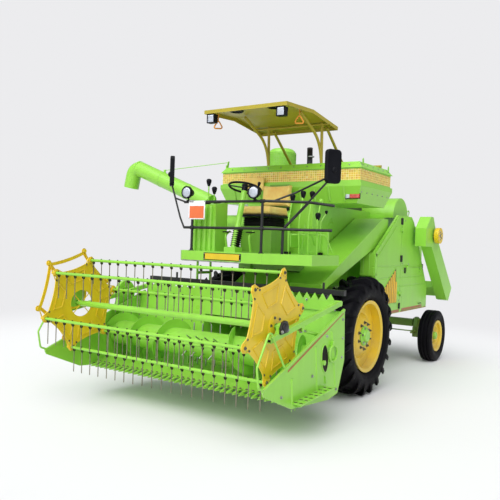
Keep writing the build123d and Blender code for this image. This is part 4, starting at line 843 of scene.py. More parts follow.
def build_trees():
    # Turned copies: the piece repeated round an axis.
    inputs = [("Count", WHOLE, 8), ("Step", NUMBER, 0.785), ("Centre", VECTOR, (0, 0, 0)), ("Axis", VECTOR, (0, 1, 0))]
    tree, given = start_tree("Turned copies", inputs)
    away = put(tree, "ShaderNodeVectorMath", {"operation": "SCALE"}, i0=given["Centre"], Scale=-1.0).outputs[0]
    moved = put(tree, "GeometryNodeTransform", Geometry=given["Geometry"], Translation=away).outputs[0]
    places = put(tree, "GeometryNodePoints", Count=given["Count"]).outputs[0]
    angle = reckon(tree, "MULTIPLY", put(tree, "GeometryNodeInputIndex").outputs[0], given["Step"])
    turn = put(tree, "FunctionNodeAxisAngleToRotation", Axis=given["Axis"], Angle=angle).outputs[0]
    copied = put(tree, "GeometryNodeInstanceOnPoints", Points=places, Instance=moved, Rotation=turn).outputs[0]
    end_tree(tree, given, put(tree, "GeometryNodeTransform", Geometry=copied, Translation=given["Centre"]).outputs[0])

    # Rows: the piece repeated along two directions.
    inputs = [("Count", WHOLE, 8), ("Step", VECTOR, (0.1, 0, 0)), ("Rows", WHOLE, 1), ("Row step", VECTOR, (0, 0, 0.1))]
    tree, given = start_tree("Rows of copies", inputs)
    geometry = given["Geometry"]
    for count, step in (("Count", "Step"), ("Rows", "Row step")):
        line = put(tree, "GeometryNodeMeshLine", Count=given[count], Offset=given[step]).outputs[0]
        geometry = put(tree, "GeometryNodeInstanceOnPoints", Points=line, Instance=geometry).outputs[0]
    end_tree(tree, given, geometry)

    # Bolts: a washer and a six-sided head.
    tree, given = start_tree("Bolt heads", [("Width", NUMBER, 0.018), ("Height", NUMBER, 0.009)])
    corner = reckon(tree, "MULTIPLY", given["Width"], 0.577)
    head = put(tree, "GeometryNodeMeshCylinder", Vertices=6, Radius=corner, Depth=given["Height"])
    up = put(tree, "ShaderNodeCombineXYZ", i2=reckon(tree, "MULTIPLY", given["Height"], 0.7)).outputs[0]
    raised = put(tree, "GeometryNodeTransform", Geometry=head.outputs[0], Translation=up).outputs[0]
    wide, thin = (reckon(tree, "MULTIPLY", given[name], share) for name, share in (("Width", 0.85), ("Height", 0.4)))
    washer = put(tree, "GeometryNodeMeshCylinder", Vertices=14, Radius=wide, Depth=thin)
    both = put(tree, "GeometryNodeJoinGeometry")
    tree.links.new(raised, both.inputs[0])
    tree.links.new(washer.outputs[0], both.inputs[0])
    on_points(tree, given, both.outputs[0])

    # Round bar: every line of edges becomes a bar with rounded bends.
    tree, given = start_tree("Round bar", [("Radius", NUMBER, 0.01), ("Bend", NUMBER, 0.03), ("Sides", WHOLE, 10)])
    curve = put(tree, "GeometryNodeMeshToCurve", Mesh=given["Geometry"]).outputs[0]
    soft = put(tree, "GeometryNodeFilletCurve", {"mode": "POLY"}, Curve=curve, i1=4, Radius=given["Bend"])
    circle = put(tree, "GeometryNodeCurvePrimitiveCircle", Resolution=given["Sides"], Radius=given["Radius"]).outputs[0]
    skin = put(tree, "GeometryNodeCurveToMesh", Curve=soft.outputs[0], i1=circle, Fill_Caps=True)
    end_tree(tree, given, skin.outputs[0])

    # Spring coils: a wire wound round every point.
    inputs = [("Radius", NUMBER, 0.014), ("Length", NUMBER, 0.03), ("Wire", NUMBER, 0.003), ("Turns", NUMBER, 3.0)]
    tree, given = start_tree("Spring coils", inputs)
    spiral = put(tree, "GeometryNodeCurveSpiral", Resolution=9, Rotations=given["Turns"], Height=given["Length"])
    for end in ("Start Radius", "End Radius"):
        tree.links.new(given["Radius"], spiral.inputs[end])
    wire = put(tree, "GeometryNodeCurvePrimitiveCircle", Resolution=5, Radius=given["Wire"]).outputs[0]
    on_points(tree, given, put(tree, "GeometryNodeCurveToMesh", Curve=spiral.outputs[0], i1=wire).outputs[0])


def copies(name, mesh, tree_name, finish, **values):
    """Runs a geometry tree on a mesh and returns the plain result."""
    holder = bpy.data.objects.new(name + "_seed", mesh)
    bpy.context.scene.collection.objects.link(holder)
    modifier = holder.modifiers.new("Tree", "NODES")
    modifier.node_group = bpy.data.node_groups[tree_name]
    values["Finish"] = FINISHES[finish]
    for item in modifier.node_group.interface.items_tree:
        key = item.name.replace(" ", "_")
        if item.item_type == "SOCKET" and item.in_out == "INPUT" and key in values:
            modifier[item.identifier] = values[key]
    graph = bpy.context.evaluated_depsgraph_get()
    graph.update()
    result = bpy.data.meshes.new_from_object(holder.evaluated_get(graph), depsgraph=graph)
    if not result.polygons:
        raise RuntimeError(name + " came out empty")
    result.name = name
    bpy.data.objects.remove(holder)
    return result


def grow(name, form, tree_name, finish, body, bevel=0.0, smooth=32, slot=None, **values):
    """A piece made by a geometry tree."""
    mesh = copies(name, as_mesh(name, form), tree_name, finish, **values)
    return show(name, mesh, finish, body, bevel, smooth, slot)


def spun(name, form, finish, body, count, centre, axis=(0.0, 1.0, 0.0), **look):
    """A piece repeated right round an axis."""
    values = {"Count": count, "Step": WHOLE_TURN / count, "Centre": metres(centre), "Axis": axis}
    return grow(name, form, "Turned copies", finish, body, **look, **values)


def rowed(name, form, finish, body, count, step, rows=1, row_step=(0, 0, 100), **look):
    """A piece repeated along one or two directions, with steps in millimetres."""
    along, across = (tuple(v / 1000 for v in way) for way in (step, row_step))
    values = {"Count": count, "Step": along, "Rows": rows, "Row_step": across}
    return grow(name, form, "Rows of copies", finish, body, **look, **values)


def bars(name, paths, radius, finish, body="machine", bend=30, sides=10, loop=False, slot=None):
    """Round bars along paths, with rounded bends; loop joins each path's end to its start."""
    mesh = bpy.data.meshes.new(name)
    points, edges = [], []
    for path in paths:
        start = len(points)
        points += [at(*p) for p in path]
        edges += [(start + i, start + i + 1) for i in range(len(path) - 1)]
        if loop:
            edges.append((len(points) - 1, start))
    mesh.from_pydata(points, edges, [])
    values = {"Radius": radius / 1000, "Bend": bend / 1000, "Sides": sides}
    return grow(name, mesh, "Round bar", finish, body, slot=slot, **values)


def dots(places):
    """A mesh of single points, each with the direction it faces. places is [(point, direction)]."""
    mesh = bpy.data.meshes.new("places")
    mesh.from_pydata([at(*p) for p, _ in places], [], [])
    facing = mesh.attributes.new("facing", "FLOAT_VECTOR", "POINT")
    for i, (_, direction) in enumerate(places):
        facing.data[i].vector = direction
    return mesh


def bolts(name, places, width, finish, body="machine"):
    values = {"Width": width / 1000, "Height": width * 0.5 / 1000}
    return grow(name, dots(places), "Bolt heads", finish, body, smooth=25, **values)


def ring_places(centre, radius, count, y, direction, start=0.0):
    """Points round an axle that runs across the machine."""
    return [(polar(centre, radius, angle, y), direction) for angle in round_angles(count, start)]


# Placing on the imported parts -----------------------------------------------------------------


SURFACES = {}


def touch(node, start, direction):
    """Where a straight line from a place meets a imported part: the place in millimetres and the facing there."""
    if node not in SURFACES:
        mesh = frame["nodes"][node].data
        points = [v.co.copy() for v in mesh.vertices]
        SURFACES[node] = BVHTree.FromPolygons(points, [tuple(p.vertices) for p in mesh.polygons])
    spot, normal, _, _ = SURFACES[node].ray_cast(at(*start), Vector(direction).normalized())
    if spot is None:
        raise RuntimeError(f"nothing of {node} lies along {start} {direction}")
    return tuple((spot - SHIFT) * 1000), normal


def touches(node, starts, direction):
    return [touch(node, start, direction) for start in starts]


# Wheels and tyres ----------------------------------------------------------------------------


# Half outlines of the tyres: (distance from the middle, radius).
FRONT_WALL = [
    (128, 456), (146, 468), (163, 492), (171, 496), (174, 508), (180, 518), (188, 540), (193, 566), (192, 596),
    (186, 626), (174, 656), (154, 680), (126, 695), (80, 703), (40, 705),
]
REAR_WALL = [
    (80, 263), (92, 272), (101, 286), (104, 292), (112, 318), (118, 348), (117, 374), (110, 396), (100, 412), (94, 422),
    (66, 426), (62, 409), (48, 409), (44, 426), (14, 426), (10, 409),
]
FRONT_TYRE_Y, REAR_TYRE_Y = 1000, 985
FRONT_RIM_RADIUS, REAR_RIM_RADIUS = 456, 263
TREAD_RADIUS = 750
WHEEL_FACE = 985
OUTSIDE = 1400


def tyre_casing(name, node, wall, centre, rim, body):
    """A turned tyre from one half of its outline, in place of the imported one."""
    inner = [(wall[0][0] - 14, rim), (14 - wall[0][0], rim)]
    outline = [(-y, r) for y, r in wall] + [(y, r) for y, r in reversed(wall)] + inner
    shape = Shape().turned(centre, outline, sides=72, closed=False)
    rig.replaces(show(name, shape, "tyre", body, smooth=40), node)


def lug(centre, side, height):
    """One tread bar: from the middle of the crown out over the shoulder."""
    low = TREAD_RADIUS - height
    # distance from the middle, top and base radius, degrees round the wheel, half of it narrow and wide
    rows = [
        (4, TREAD_RADIUS, low - 8, 0.0, 38, 66), (86, TREAD_RADIUS, low - 10, 5.4, 40, 64),
        (142, TREAD_RADIUS - 5, low - 26, 9.2, 44, 66), (176, TREAD_RADIUS - 24, low - 56, 11.8, 50, 70),
        (197, 690, 640, 13.4, 52, 70), (199, 640, 596, 14.6, 40, 58),
    ]
    rings = []
    for y, top, base, turn, narrow, wide in rows:
        corners = ((base, -wide / 2), (top, -narrow / 2), (top, narrow / 2), (base, wide / 2))
        angle, level = math.radians(turn), centre[1] + side * y
        rings.append([polar(centre, radius, angle + offset / radius, level) for radius, offset in corners])
    return Shape().loft(rings)


def front_wheel(word, side):
    tyre = settings().tyre
    body = f"front_{word}_wheel"
    centre = (0, side * FRONT_TYRE_Y, FRONT_AXIS[2])
    tyre_casing(f"front_tyre_{word}_casing", f"front_tyre_{word}", FRONT_WALL, centre, FRONT_RIM_RADIUS, body)
    for half, offset in ((1, 0.0), (-1, 0.5)):
        bar = lug(centre, half, tyre.lug_height * 1000).turn(-offset * 360 / tyre.lug_count, centre)
        name = f"front_tyre_{word}_lugs_{'outer' if half == side else 'inner'}"
        spun(name, bar, "tyre", body, tyre.lug_count, centre, bevel=5, smooth=40)
    face = side * WHEEL_FACE
    middle = (0, face, FRONT_AXIS[2])
    dish = [(10, 336), (20, 330), (64, 262), (92, 222), (104, 206), (104, 100), (60, 100), (4, 300)]
    hub = [(98, 128), (118, 124), (126, 112), (134, 84), (152, 78), (158, 70), (158, 20)]
    shape = Shape().turned(middle, [(side * along, radius) for along, radius in dish], sides=64, closed=False)
    show(f"front_wheel_{word}_dish", shape, "front wheel", body, smooth=40)
    shape = Shape().turned(middle, [(side * along, radius) for along, radius in hub], sides=48)
    show(f"front_hub_{word}_cap", shape, "green", body, smooth=35)
    facing = (0, side, 0)
    nuts = ring_places(FRONT_AXIS, 168, 10, face + side * 104, facing, 0.31)
    bolts(f"front_wheel_{word}_nuts", nuts, 27, "iron", body)
    shape = Shape()
    for spot, _ in nuts:
        shape.turned(spot, [(side * 8, 9), (side * 30, 9), (side * 33, 6)], sides=12)
    show(f"front_wheel_{word}_studs", shape, "iron", body, smooth=40)
    studs = ring_places(FRONT_AXIS, 100, 6, face + side * 128, facing, 0.2)
    bolts(f"front_hub_{word}_bolts", studs, 20, "steel", body)
    # Two openings at the rim where its halves are keyed, drawn as dark plates painted as the shade inside them
    shape = Shape()
    for turn in (96, 276):
        corners = ((-0.17, 396), (0.17, 396), (0.11, 352), (-0.11, 352))
        outline = [polar(FRONT_AXIS, radius, math.radians(turn) + offset)[::2] for offset, radius in corners]
        shape.prism(outline, face, face + side * 9)
    show(f"front_wheel_{word}_keys", shape, "rubber", body, bevel=3)
    # Valve stem through the rim well
    x, y, z = touch(f"front_wheel_{word}", (330, side * OUTSIDE, FRONT_AXIS[2] + 150), (0, -side, 0))[0]
    path = [(x, y, z), (x + 10, y + side * 22, z + 8), (x + 34, y + side * 34, z + 18)]
    bars(f"front_wheel_{word}_valve", [path], 5, "steel", body, bend=8, sides=8)


def rear_wheel(word, side):
    body, node = f"rear_{word}_wheel", f"rear_wheel_{word}"
    centre = (REAR_AXIS[0], side * REAR_TYRE_Y, REAR_AXIS[2])
    tyre_casing(f"rear_tyre_{word}_casing", f"rear_tyre_{word}", REAR_WALL, centre, REAR_RIM_RADIUS, body)
    inward = (0, -side, 0)
    starts = [polar(REAR_AXIS, 98, WHOLE_TURN * (i + 0.5) / 6, side * OUTSIDE) for i in range(6)]
    bolts(f"rear_wheel_{word}_nuts", touches(node, starts, inward), 26, "steel", body)
    y = touch(node, (REAR_AXIS[0], side * OUTSIDE, REAR_AXIS[2]), inward)[0][1]
    profile = [(-side * 2, 46), (side * 6, 44), (side * 14, 34), (side * 17, 14)]
    shape = Shape().turned((REAR_AXIS[0], y, REAR_AXIS[2]), profile, sides=24)
    show(f"rear_hub_{word}_cap", shape, "rear wheel", body, smooth=35)


class HARVESTER_OT_tyres(bpy.types.Operator):
    """Tyres with their tread, and the wheels' bolts and hub fittings"""

    bl_idname = "harvester.tyres"
    bl_label = "Tyres and wheel fittings"

    def execute(self, context):
        for word, side in SIDES:
            front_wheel(word, side)
            rear_wheel(word, side)
        return {"FINISHED"}


# Header --------------------------------------------------------------------------------------


HEADER_WALLS = (("left", 1420, 1), ("right", -1480, -1))
GUARD_COUNT = 36
STRIP_END = 1335
STRIP_BACK, STRIP_FRONT = 1377, 1381


class HARVESTER_OT_header(bpy.types.Operator):
    """Cutting table: knife, saw-edged strip, wall fittings, step holes, cross auger fingers"""

    bl_idname = "harvester.header"
    bl_label = "Header fittings"

    def execute(self, context):
        sizes = settings().header
        # Knife sections between the guards
        pitch = sizes.blade_pitch * 1000
        first = -30 - pitch * 18
        edge = pitch * 0.47
        outline = [(2170, first - edge), (2170, first + edge), (2243, first + 7), (2248, first), (2243, first - 7)]
        section = Shape().prism(outline, 371, 374.5, "z")
        rowed("knife_sections", section, "blade", "header", GUARD_COUNT + 1, (0, pitch, 0))
        ends = (2176, first - 20, 374.5), (2196, first + pitch * GUARD_COUNT + 20, 380)
        blocks("knife_back", [ends], "blade", "header", bevel=1.5)
        y = first + pitch / 2
        rings = [
            [(x, y - half, low), (x, y + half, low), (x, y + half * 0.8, high), (x, y - half * 0.8, high)]
            for x, half, low, high in (
                (2132, 17, 350, 386), (2160, 24, 348, 392), (2205, 20, 348, 388), (2250, 13, 350, 377),
                (2296, 4, 352, 361),
            )
        ]
        rowed("knife_guards", Shape().loft(rings), "header green", "header", GUARD_COUNT, (0, pitch, 0), bevel=3)
        heads = [((2150, first + pitch * (i + 0.5), 391), UP) for i in range(GUARD_COUNT)]
        bolts("knife_guard_bolts", heads, 17, "iron", "header")

        # Saw-edged strip along the back, welded to the top beam
        tooth = sizes.tooth_pitch * 1000
        count = int((STRIP_END + 1400) / tooth)
        start = STRIP_END - count * tooth
        outline = [(start, 1178), (STRIP_END, 1178), (STRIP_END, 1292), (start, 1292)]
        show("saw_strip", Shape().prism(outline, STRIP_BACK, STRIP_FRONT, "x"), "header green", "header", bevel=1)
        top = start + tooth / 2
        outline = [(start, 1290), (start + tooth, 1290), (top + 3, 1360), (top - 3, 1360)]
        shape = Shape().prism(outline, STRIP_BACK, STRIP_FRONT, "x")
        rowed("saw_teeth", shape, "header green", "header", count, (0, tooth, 0))

        # Walls: orange line under the rail, pressed ribs, bolts
        for word, face, out in HEADER_WALLS:
            line = [(2456, 707), (2456, 729), (1331, 1180), (1331, 1158)]
            shape = Shape().prism(line, face - out * 0.5, face + out * 3)
            show(f"header_{word}_line", shape, "orange", "header", bevel=1)
            shape = Shape()
            for ends in (((1860, 400), (1928, 880)), ((1460, 400), (1590, 1000)), ((2345, 372), (2376, 640))):
                shape.rib(ends, 26, 9, face, out * 11)
            show(f"header_{word}_ribs", shape, "header green", "header", bevel=2)
            spots = [
                (1340, 1100), (1330, 900), (1340, 700), (1450, 380), (2060, 390), (1985, 600), (1700, 960), (2560, 500),
            ]
            places = touches("header_shell", [(x, face + out * 60, z) for x, z in spots], (0, -out, 0))
            bolts(f"header_{word}_wall_bolts", places, 20, "steel", "header")

        # Slot in the left wall, drawn as a dark plate painted as the shade inside it, with a rim lightened by wear and
        # a painted highlight, and the ring that hangs beside it
        slot = []
        for angle in round_angles(24):
            along, across = 146 * math.cos(angle), 74 * math.sin(angle)
            slot.append((1725 + along * 0.17 - across * 0.98, 737 + along * 0.98 + across * 0.17))
        show("header_left_slot", Shape().prism(slot, 1418.5, 1421.5), "rubber", "header", bevel=0.6)
        rim = [(x, 1422, z) for x, z in slot]
        bars("header_left_slot_rim", [rim], 6, "header green", "header", bend=6, sides=8, loop=True)
        ring = [(1578 + 88 * math.cos(a), 1440, 772 + 84 * math.sin(a)) for a in round_angles(18)]
        bars("header_left_ring", [ring], 12, "header green", "header", bend=10, loop=True)
        shape = Shape().prism([(1572, 846), (1606, 846), (1612, 902), (1566, 902)], 1419, 1448)
        shape.prism([(1700, 560), (1720, 560), (1700, 480), (1690, 480)], 1419, 1432)
        show("header_left_ring_eye", shape, "header green", "header", bevel=2)

        # Round holes with pressed rims along the sloping step outside the left wall; each hole is a dark disc painted
        # as the shade inside it
        slope = math.degrees(math.atan2(40, 680))
        run = Matrix.Rotation(math.radians(slope), 4, "Y") @ Vector((97.5, 0, 0))
        for part, finish, profile in (
            ("rims", "header green", [(-3, 26), (4, 24), (4, 19), (-3, 19)]),
            ("holes", "rubber", [(-3, 19.5), (1.2, 19.5)]),
        ):
            shape = Shape().turned((0, 0, 0), profile, axis="z", sides=18, closed=part == "holes")
            shape.turn(slope, goal=(1752, 1447, 449.5))
            rowed(f"header_step_{part}", shape, finish, "header", 7, run, rows=2, row_step=(0, 54, 0), smooth=50)
        tabs = [((x, 1418, 330), (x + 8, 1424, 345)) for x in (2360, 2300)]
        blocks("header_step_tabs", tabs, "header green", "header", bevel=1)

        # Cross auger: fingers in the middle and end bands
        x, _, z = DRUM_AXIS
        for number, y in ((0, 0), (1, 62)):
            rod = Shape().turned((x, -250, z), [(146, 9), (226, 8), (236, 5), (240, 0.5)], axis="z", sides=8)
            rod.turn(60 * number, DRUM_AXIS, (x, y, z))
            values = {"Count": 4, "Step": (0.0, 0.125, 0.0), "Rows": 1}
            line = copies("finger_row", rod.mesh("finger"), "Rows of copies", "steel", **values)
            spun(f"auger_fingers_{number + 1}", line, "steel", "cross_auger", 3, DRUM_AXIS)
        shape = Shape()
        for y in (-1400, -700, 640, 1340):
            shape.turned((x, y, z), [(-14, 149), (-10, 154), (10, 154), (14, 149)], sides=48)
        show("auger_bands", shape, "header green", "cross_auger")

        # Bolts along the top beam and on the drive's disc
        places = touches("header_shell", [(1420, y, 1400) for y in range(-1400, 1360, 160)], (-0.35, 0, -1))
        bolts("header_beam_bolts", places, 18, "steel", "header")
        bolts("header_drive_bolts", ring_places((1620, 0, 1190), 112, 6, -1556, (0, -1, 0)), 18, "steel", "header")
        return {"FINISHED"}


# Reel ----------------------------------------------------------------------------------------


TINE_PITCH = 132
PLATE_Y = 1304


def plate_loop(shape, corners, face, out, width, height):
    """A raised rib that follows a closed outline on a flat plate across the machine."""
    count = len(corners)
    middle = [sum(corner[i] for corner in corners) / count for i in (0, 1)]
    rings = []
    for x, z in corners:
        run = Vector((middle[0] - x, 0, middle[1] - z)).normalized()
        steps = ((0, -1), (4, height), (width - 2, height), (width + 6, -1))
        rings.append([Vector((x, 0, z)) + run * inward + Vector((0, face + out * up, 0)) for inward, up in steps])
    shape.loft(rings, round_trip=True)


def end_plate(word, side):
    """Pressed ribs on both faces of a reel plate, a rolled rim, corner bosses and their bolts."""
    middle = side * PLATE_Y
    outline = []
    for angle in round_angles(90, math.radians(FIRST_BAR)):
        inward = (-math.cos(angle), 0, -math.sin(angle))
        outline.append(touch("reel_frame", polar(REEL_AXIS, 640, angle, middle), inward)[0])
    bars(f"reel_{word}_plate_rim", [outline], 6, "reel", "reel", bend=3, sides=8, loop=True)
    inner, outer = (235 if word == "left" else 290), 420
    shape, places = Shape(), []
    for out in (1, -1):
        face = middle + out * 4
        for number in range(6):
            ends = []
            for radius in (outer, inner):
                a, b = (Vector(polar(REEL_AXIS, radius, bar_angle(n))) for n in (number, number + 1))
                ends += [tuple(a.lerp(b, share))[::2] for share in (0.14, 0.86)]
            plate_loop(shape, [ends[0], ends[1], ends[3], ends[2]], face, out, 20, 8)
            boss = polar(REEL_AXIS, REEL_CIRCLE, bar_angle(number), face)
            profile = [(-out, 34), (out * 5, 34), (out * 9, 28), (out * 9, 17), (-out, 17)]
            shape.turned(boss, profile, sides=20, closed=False)
            for turn in (-0.12, 0.12):
                places.append((polar(REEL_AXIS, 446, bar_angle(number) + turn, face), (0, out, 0)))
    show(f"reel_{word}_plate_ribs", shape, "reel ribs", "reel", smooth=30)
    bolts(f"reel_{word}_plate_bolts", places, 14, "iron", "reel")


class HARVESTER_OT_reel(bpy.types.Operator):
    """Reel: spring coils and clips of the tines, pressed ribs and bolts of the end plates"""

    bl_idname = "harvester.reel"
    bl_label = "Reel fittings"

    def execute(self, context):
        tines = settings().header.tines_a_bar
        rows = [TINE_PITCH * (i - (tines - 1) / 2) for i in range(tines)]
        for number in range(1, 7):
            x, _, z = polar(REEL_AXIS, REEL_CIRCLE, bar_angle(number - 1))
            body = f"tines_{number}"
            coils = dots([((x, y - 9, z - 27), (0, 1, 0)) for y in rows])
            values = {"Radius": 0.0125, "Length": 0.018, "Wire": 0.003, "Turns": 3.0}
            grow(f"tine_coils_{number}", coils, "Spring coils", "wire", body, smooth=60, **values)
            shape = Shape().turned((x, rows[0] - 8, z), [(15, 8), (23, 8), (23, 5)], axis="z", sides=6)
            rowed(f"tine_clips_{number}", shape, "wire", body, tines, (0, TINE_PITCH, 0))
            end = touch(f"tine_bar_{number}", (x, 1700, z), (0, -1, 0))
            bolts(f"tine_end_{number}", [end], 22, "iron", body)
        for word, side in SIDES:
            end_plate(word, side)
        x, _, z = REEL_AXIS
        shape = Shape().turned((x, 1309, z), [(-2, 120), (3, 120), (8, 104), (8, 30), (-2, 30)], sides=40)
        show("reel_left_hub_plate", shape, "reel", "reel")
        bolts("reel_left_hub_bolts", ring_places(REEL_AXIS, 88, 6, 1316, (0, 1, 0), 0.2), 18, "iron", "reel")

        # Bearing blocks on the arms, black as on the machine
        outline = [(2455, 1075), (2585, 1062), (2592, 1118), (2560, 1172), (2520, 1186), (2480, 1178), (2452, 1130)]
        for word, y, out in (("left", 1395, 1), ("right", -1455, -1)):
            shape = Shape().prism(outline, y - out * 4, y + out * 20)
            shape.turned((x, y, z), [(out * 10, 46), (out * 30, 44), (out * 36, 30), (out * 36, 5)], sides=24)
            show(f"reel_{word}_bearing", shape, "black", "arms", bevel=3)
            places = [((a, y + out * 20, b), (0, out, 0)) for a, b in ((2472, 1098), (2574, 1090))]
            bolts(f"reel_{word}_bearing_bolts", places, 20, "steel", "arms")
        # Open ends of the square arms, capped with dark plates painted as the shade inside the tubes
        for word, y in (("left", 1370), ("right", -1430)):
            end, _, level = touch("reel_arms", (3000, y, 1026), BACK)[0]
            mouth = [(y + a * 19, level + b * 19) for a, b in ((-1, -1), (1, -1), (1, 1), (-1, 1))]
            show(f"reel_{word}_arm_mouth", Shape().prism(mouth, end + 0.8, end - 2.2, "x"), "rubber", "arms")
        # The control ring's axis is offset from the shaft
        places = ring_places((x + 45, 0, z + 105), 164, 6, -1378, (0, -1, 0))
        bolts("control_ring_bolts", places, 10, "steel", "ring")
        return {"FINISHED"}


# Platform ------------------------------------------------------------------------------------


FLOOR = 1762
RAIL_X = 1470


def knob(shape, place, radius=22, long=52):
    """A pear-shaped hand knob, standing upright."""
    rings = []
    for share, width in ((-0.5, 0.45), (-0.3, 0.62), (0, 0.9), (0.25, 1.0), (0.42, 0.8), (0.5, 0.4)):
        centre, r = Vector(place) + Vector((0, 0, share * long)), radius * width
        rings.append([centre + Vector((r * math.cos(t), r * math.sin(t), 0)) for t in round_angles(14, math.pi / 4)])
    shape.loft(rings)


def mirror(word, place, facing):
    """Glass, rim and swivel of a mirror that looks back to the driver."""
    out = Vector(facing).normalized()
    along = Vector((-out.y, out.x, 0))
    centre = Vector(place) - out * 26
    outline = []
    for cx, cz, start in ((1, 1, 0), (-1, 1, 90), (-1, -1, 180), (1, -1, 270)):
        for k in range(5):
            angle = math.radians(start + k * 22.5)
            outline.append((cx * 48 + 34 * math.cos(angle), cz * 138 + 34 * math.sin(angle)))
    rings = [[centre + along * a + Vector((0, 0, b)) + out * depth for a, b in outline] for depth in (0.5, -1.5)]
    show(f"mirror_{word}_glass", Shape().loft(rings), "mirror")
    rim = [centre + along * a * 1.06 + Vector((0, 0, b * 1.02)) for a, b in outline]
    bars(f"mirror_{word}_rim", [rim], 5, "plastic", bend=4, sides=8, loop=True)
    hub = Vector(place) + out * 24 - Vector((0, 0, 40))
    rings = [
        [hub + out * depth + along * r * math.cos(t) + Vector((0, 0, r * math.sin(t))) for t in round_angles(16)]
        for depth, r in ((-2, 34), (8, 32), (16, 20), (22, 18))
    ]
    show(f"mirror_{word}_swivel", Shape().loft(rings), "plastic")


class HARVESTER_OT_platform(bpy.types.Operator):
    """Platform: floor studs, lamps, mirrors, levers, pedals, gauges, boards, ladder treads"""

    bl_idname = "harvester.platform"
    bl_label = "Platform fittings"

    def execute(self, context):
        # Chequered floor studs
        shape = Shape().prism([(216, -740), (238, -735), (242, -729), (220, -734)], FLOOR - 2, FLOOR + 0.5, "z")
        rowed("floor_studs", shape, "green", "machine", 28, (44, 0, 0), rows=26, row_step=(0, 44, 0))

        # Headlamps: bezel, ribbed lens
        bezel = [(0, 76), (8, 77), (12, 73), (12, 66), (6, 64), (-1, 64)]
        glass = [(-2, 65), (6, 62), (11, 46), (14, 24), (15, 2)]
        for number, (y, z) in enumerate(((-640, 2465), (340, 2450)), 1):
            shape = Shape().turned((1511, y, z), bezel, axis="x", sides=40, closed=False)
            show(f"headlamp_bezel_{number}", shape, "plastic", smooth=40)
            shape = Shape().turned((1511, y, z), glass, axis="x", sides=40)
            show(f"headlamp_lens_{number}", shape, "clear lens", smooth=60)
        mirror("right", (1480, -915, 2735), (0.67, -0.74, 0))
        mirror("left", (1250, 1195, 2735), (0.485, 0.874, 0))

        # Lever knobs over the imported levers, and more thin rods at the left of the seat
        shape = Shape()
        for x, y, z in (
            (940, 520, 2430), (900, 640, 2470), (840, 730, 2470), (850, 820, 2400),
            (1180, -560, 2620), (1180, -470, 2520),
        ):
            spot = touch("control_levers", (x, y, z + 160), DOWN)[0]
            knob(shape, (spot[0], spot[1], spot[2] - 30), 34, 92)
        show("lever_knobs", shape, "plastic", smooth=50)
        rods = [
            [(960, 500, FLOOR), (985, 520, 2060), (1010, 500, 2280)],
            [(700, 780, FLOOR), (740, 800, 2150), (700, 850, 2260)],
            [(760, 560, FLOOR), (760, 600, 2120)], [(620, 700, FLOOR + 3), (760, 700, 1990), (960, 640, 2010)],
            [(1000, 560, 1990), (760, 880, 2000), (640, 920, 1790)],
        ]
        bars("linkage_rods", rods, 8, "green", bend=60, sides=8)
        shape = Shape()
        for place in ((1010, 500, 2290), (700, 852, 2270)):
            knob(shape, place, 19, 46)
        for x, y in ((985, 500), (720, 790)):
            shape.block((x - 40, y - 26, FLOOR - 2), (x + 40, y + 26, FLOOR + 28))
        show("linkage_knobs", shape, "plastic", bevel=3)
        corners = [
            ((880, 470, 2040), (930, 880, 2062)), ((660, 470, FLOOR), (690, 880, 2040)),
            ((690, 480, 1840), (900, 494, 2010)),
        ]
        blocks("lever_frame", corners, "green", bevel=4)

        # Pedals with ribbed pads
        for number, y in enumerate((-190, 150), 1):
            x, _, z = touch("control_levers", (1262, y, 2300), DOWN)[0]
            corners = [((x - 34, y - 42, z - 1), (x + 40, y + 42, z + 9))]
            corners += [((x - 28 + k, y - 38, z + 8), (x - 23 + k, y + 38, z + 13)) for k in range(0, 72, 12)]
            blocks(f"pedal_pad_{number}", corners, "rubber", bevel=1.5)

        # Console: gauges with plain dials, switches and tubes
        shape, glass = Shape(), Shape()
        rim = [(-4, 44), (10, 44), (14, 40), (14, 36), (8, 34), (-4, 34)]
        for x, y in ((1180, -420), (1180, -600), (1262, -510)):
            spot = (x, y, touch("operator_platform", (x, y, 2600), DOWN)[0][2])
            shape.turned(spot, rim, axis="z", closed=False)
            glass.turned(spot, [(-2, 36), (9, 35), (10, 4)], axis="z")
        for y in range(-650, -430, 46):
            z = touch("operator_platform", (1115, y, 2600), DOWN)[0][2]
            shape.block((1108, y - 8, z - 2), (1124, y + 10, z + 12))
        show("console_gauge_rims", shape, "plastic", bevel=1)
        show("console_gauge_faces", glass, "clear lens")
        shape = Shape()
        for y in (-640, -560, -480, -400):
            shape.turned((1330, y, 2010), [(-250, 22), (290, 22), (300, 16)], axis="z", sides=20)
        show("console_front_tubes", shape, "green", smooth=50)

        # Blank board on the rails: white over orange with a white edge
        blocks("rail_board", [((1486, -616, 2140), (1491, -366, 2364))], "board white", bevel=1)
        blocks("rail_board_panel", [((1490.5, -600, 2152), (1492.5, -382, 2300))], "board orange")
        places = [((1491, y, z), AHEAD) for y in (-606, -376) for z in (2150, 2354)]
        bolts("rail_board_bolts", places, 8, "steel")

        # Rail clamps
        shape = Shape()
        for y in (-570, 440):
            for z in (2350, 2040):
                shape.turned((RAIL_X, y, z), [(-26, 17), (-26, 22), (26, 22), (26, 17)], sides=20)
            foot = [(0, 17), (0, 34), (6, 34), (10, 20), (30, 18)]
            shape.turned((RAIL_X, y, FLOOR - 2), foot, axis="z", sides=20)
        show("rail_clamps", shape, "black", smooth=40)

        # Apron: lower lip and a plain plate
        blocks("apron_lip", [((1499, -692, 1634), (1504, 180, 1648))], "steel", bevel=1)
        blocks("apron_plate", [((1499.5, -355, 1658), (1503.5, 190, 1744))], "plastic", bevel=2)
        blocks("apron_plate_face", [((1502, -330, 1666), (1505, 165, 1736))], "reel ribs", bevel=1)
        places = [((1503.5, y, z), AHEAD) for y in (-343, 178) for z in (1670, 1732)]
        bolts("apron_plate_bolts", places, 9, "steel")

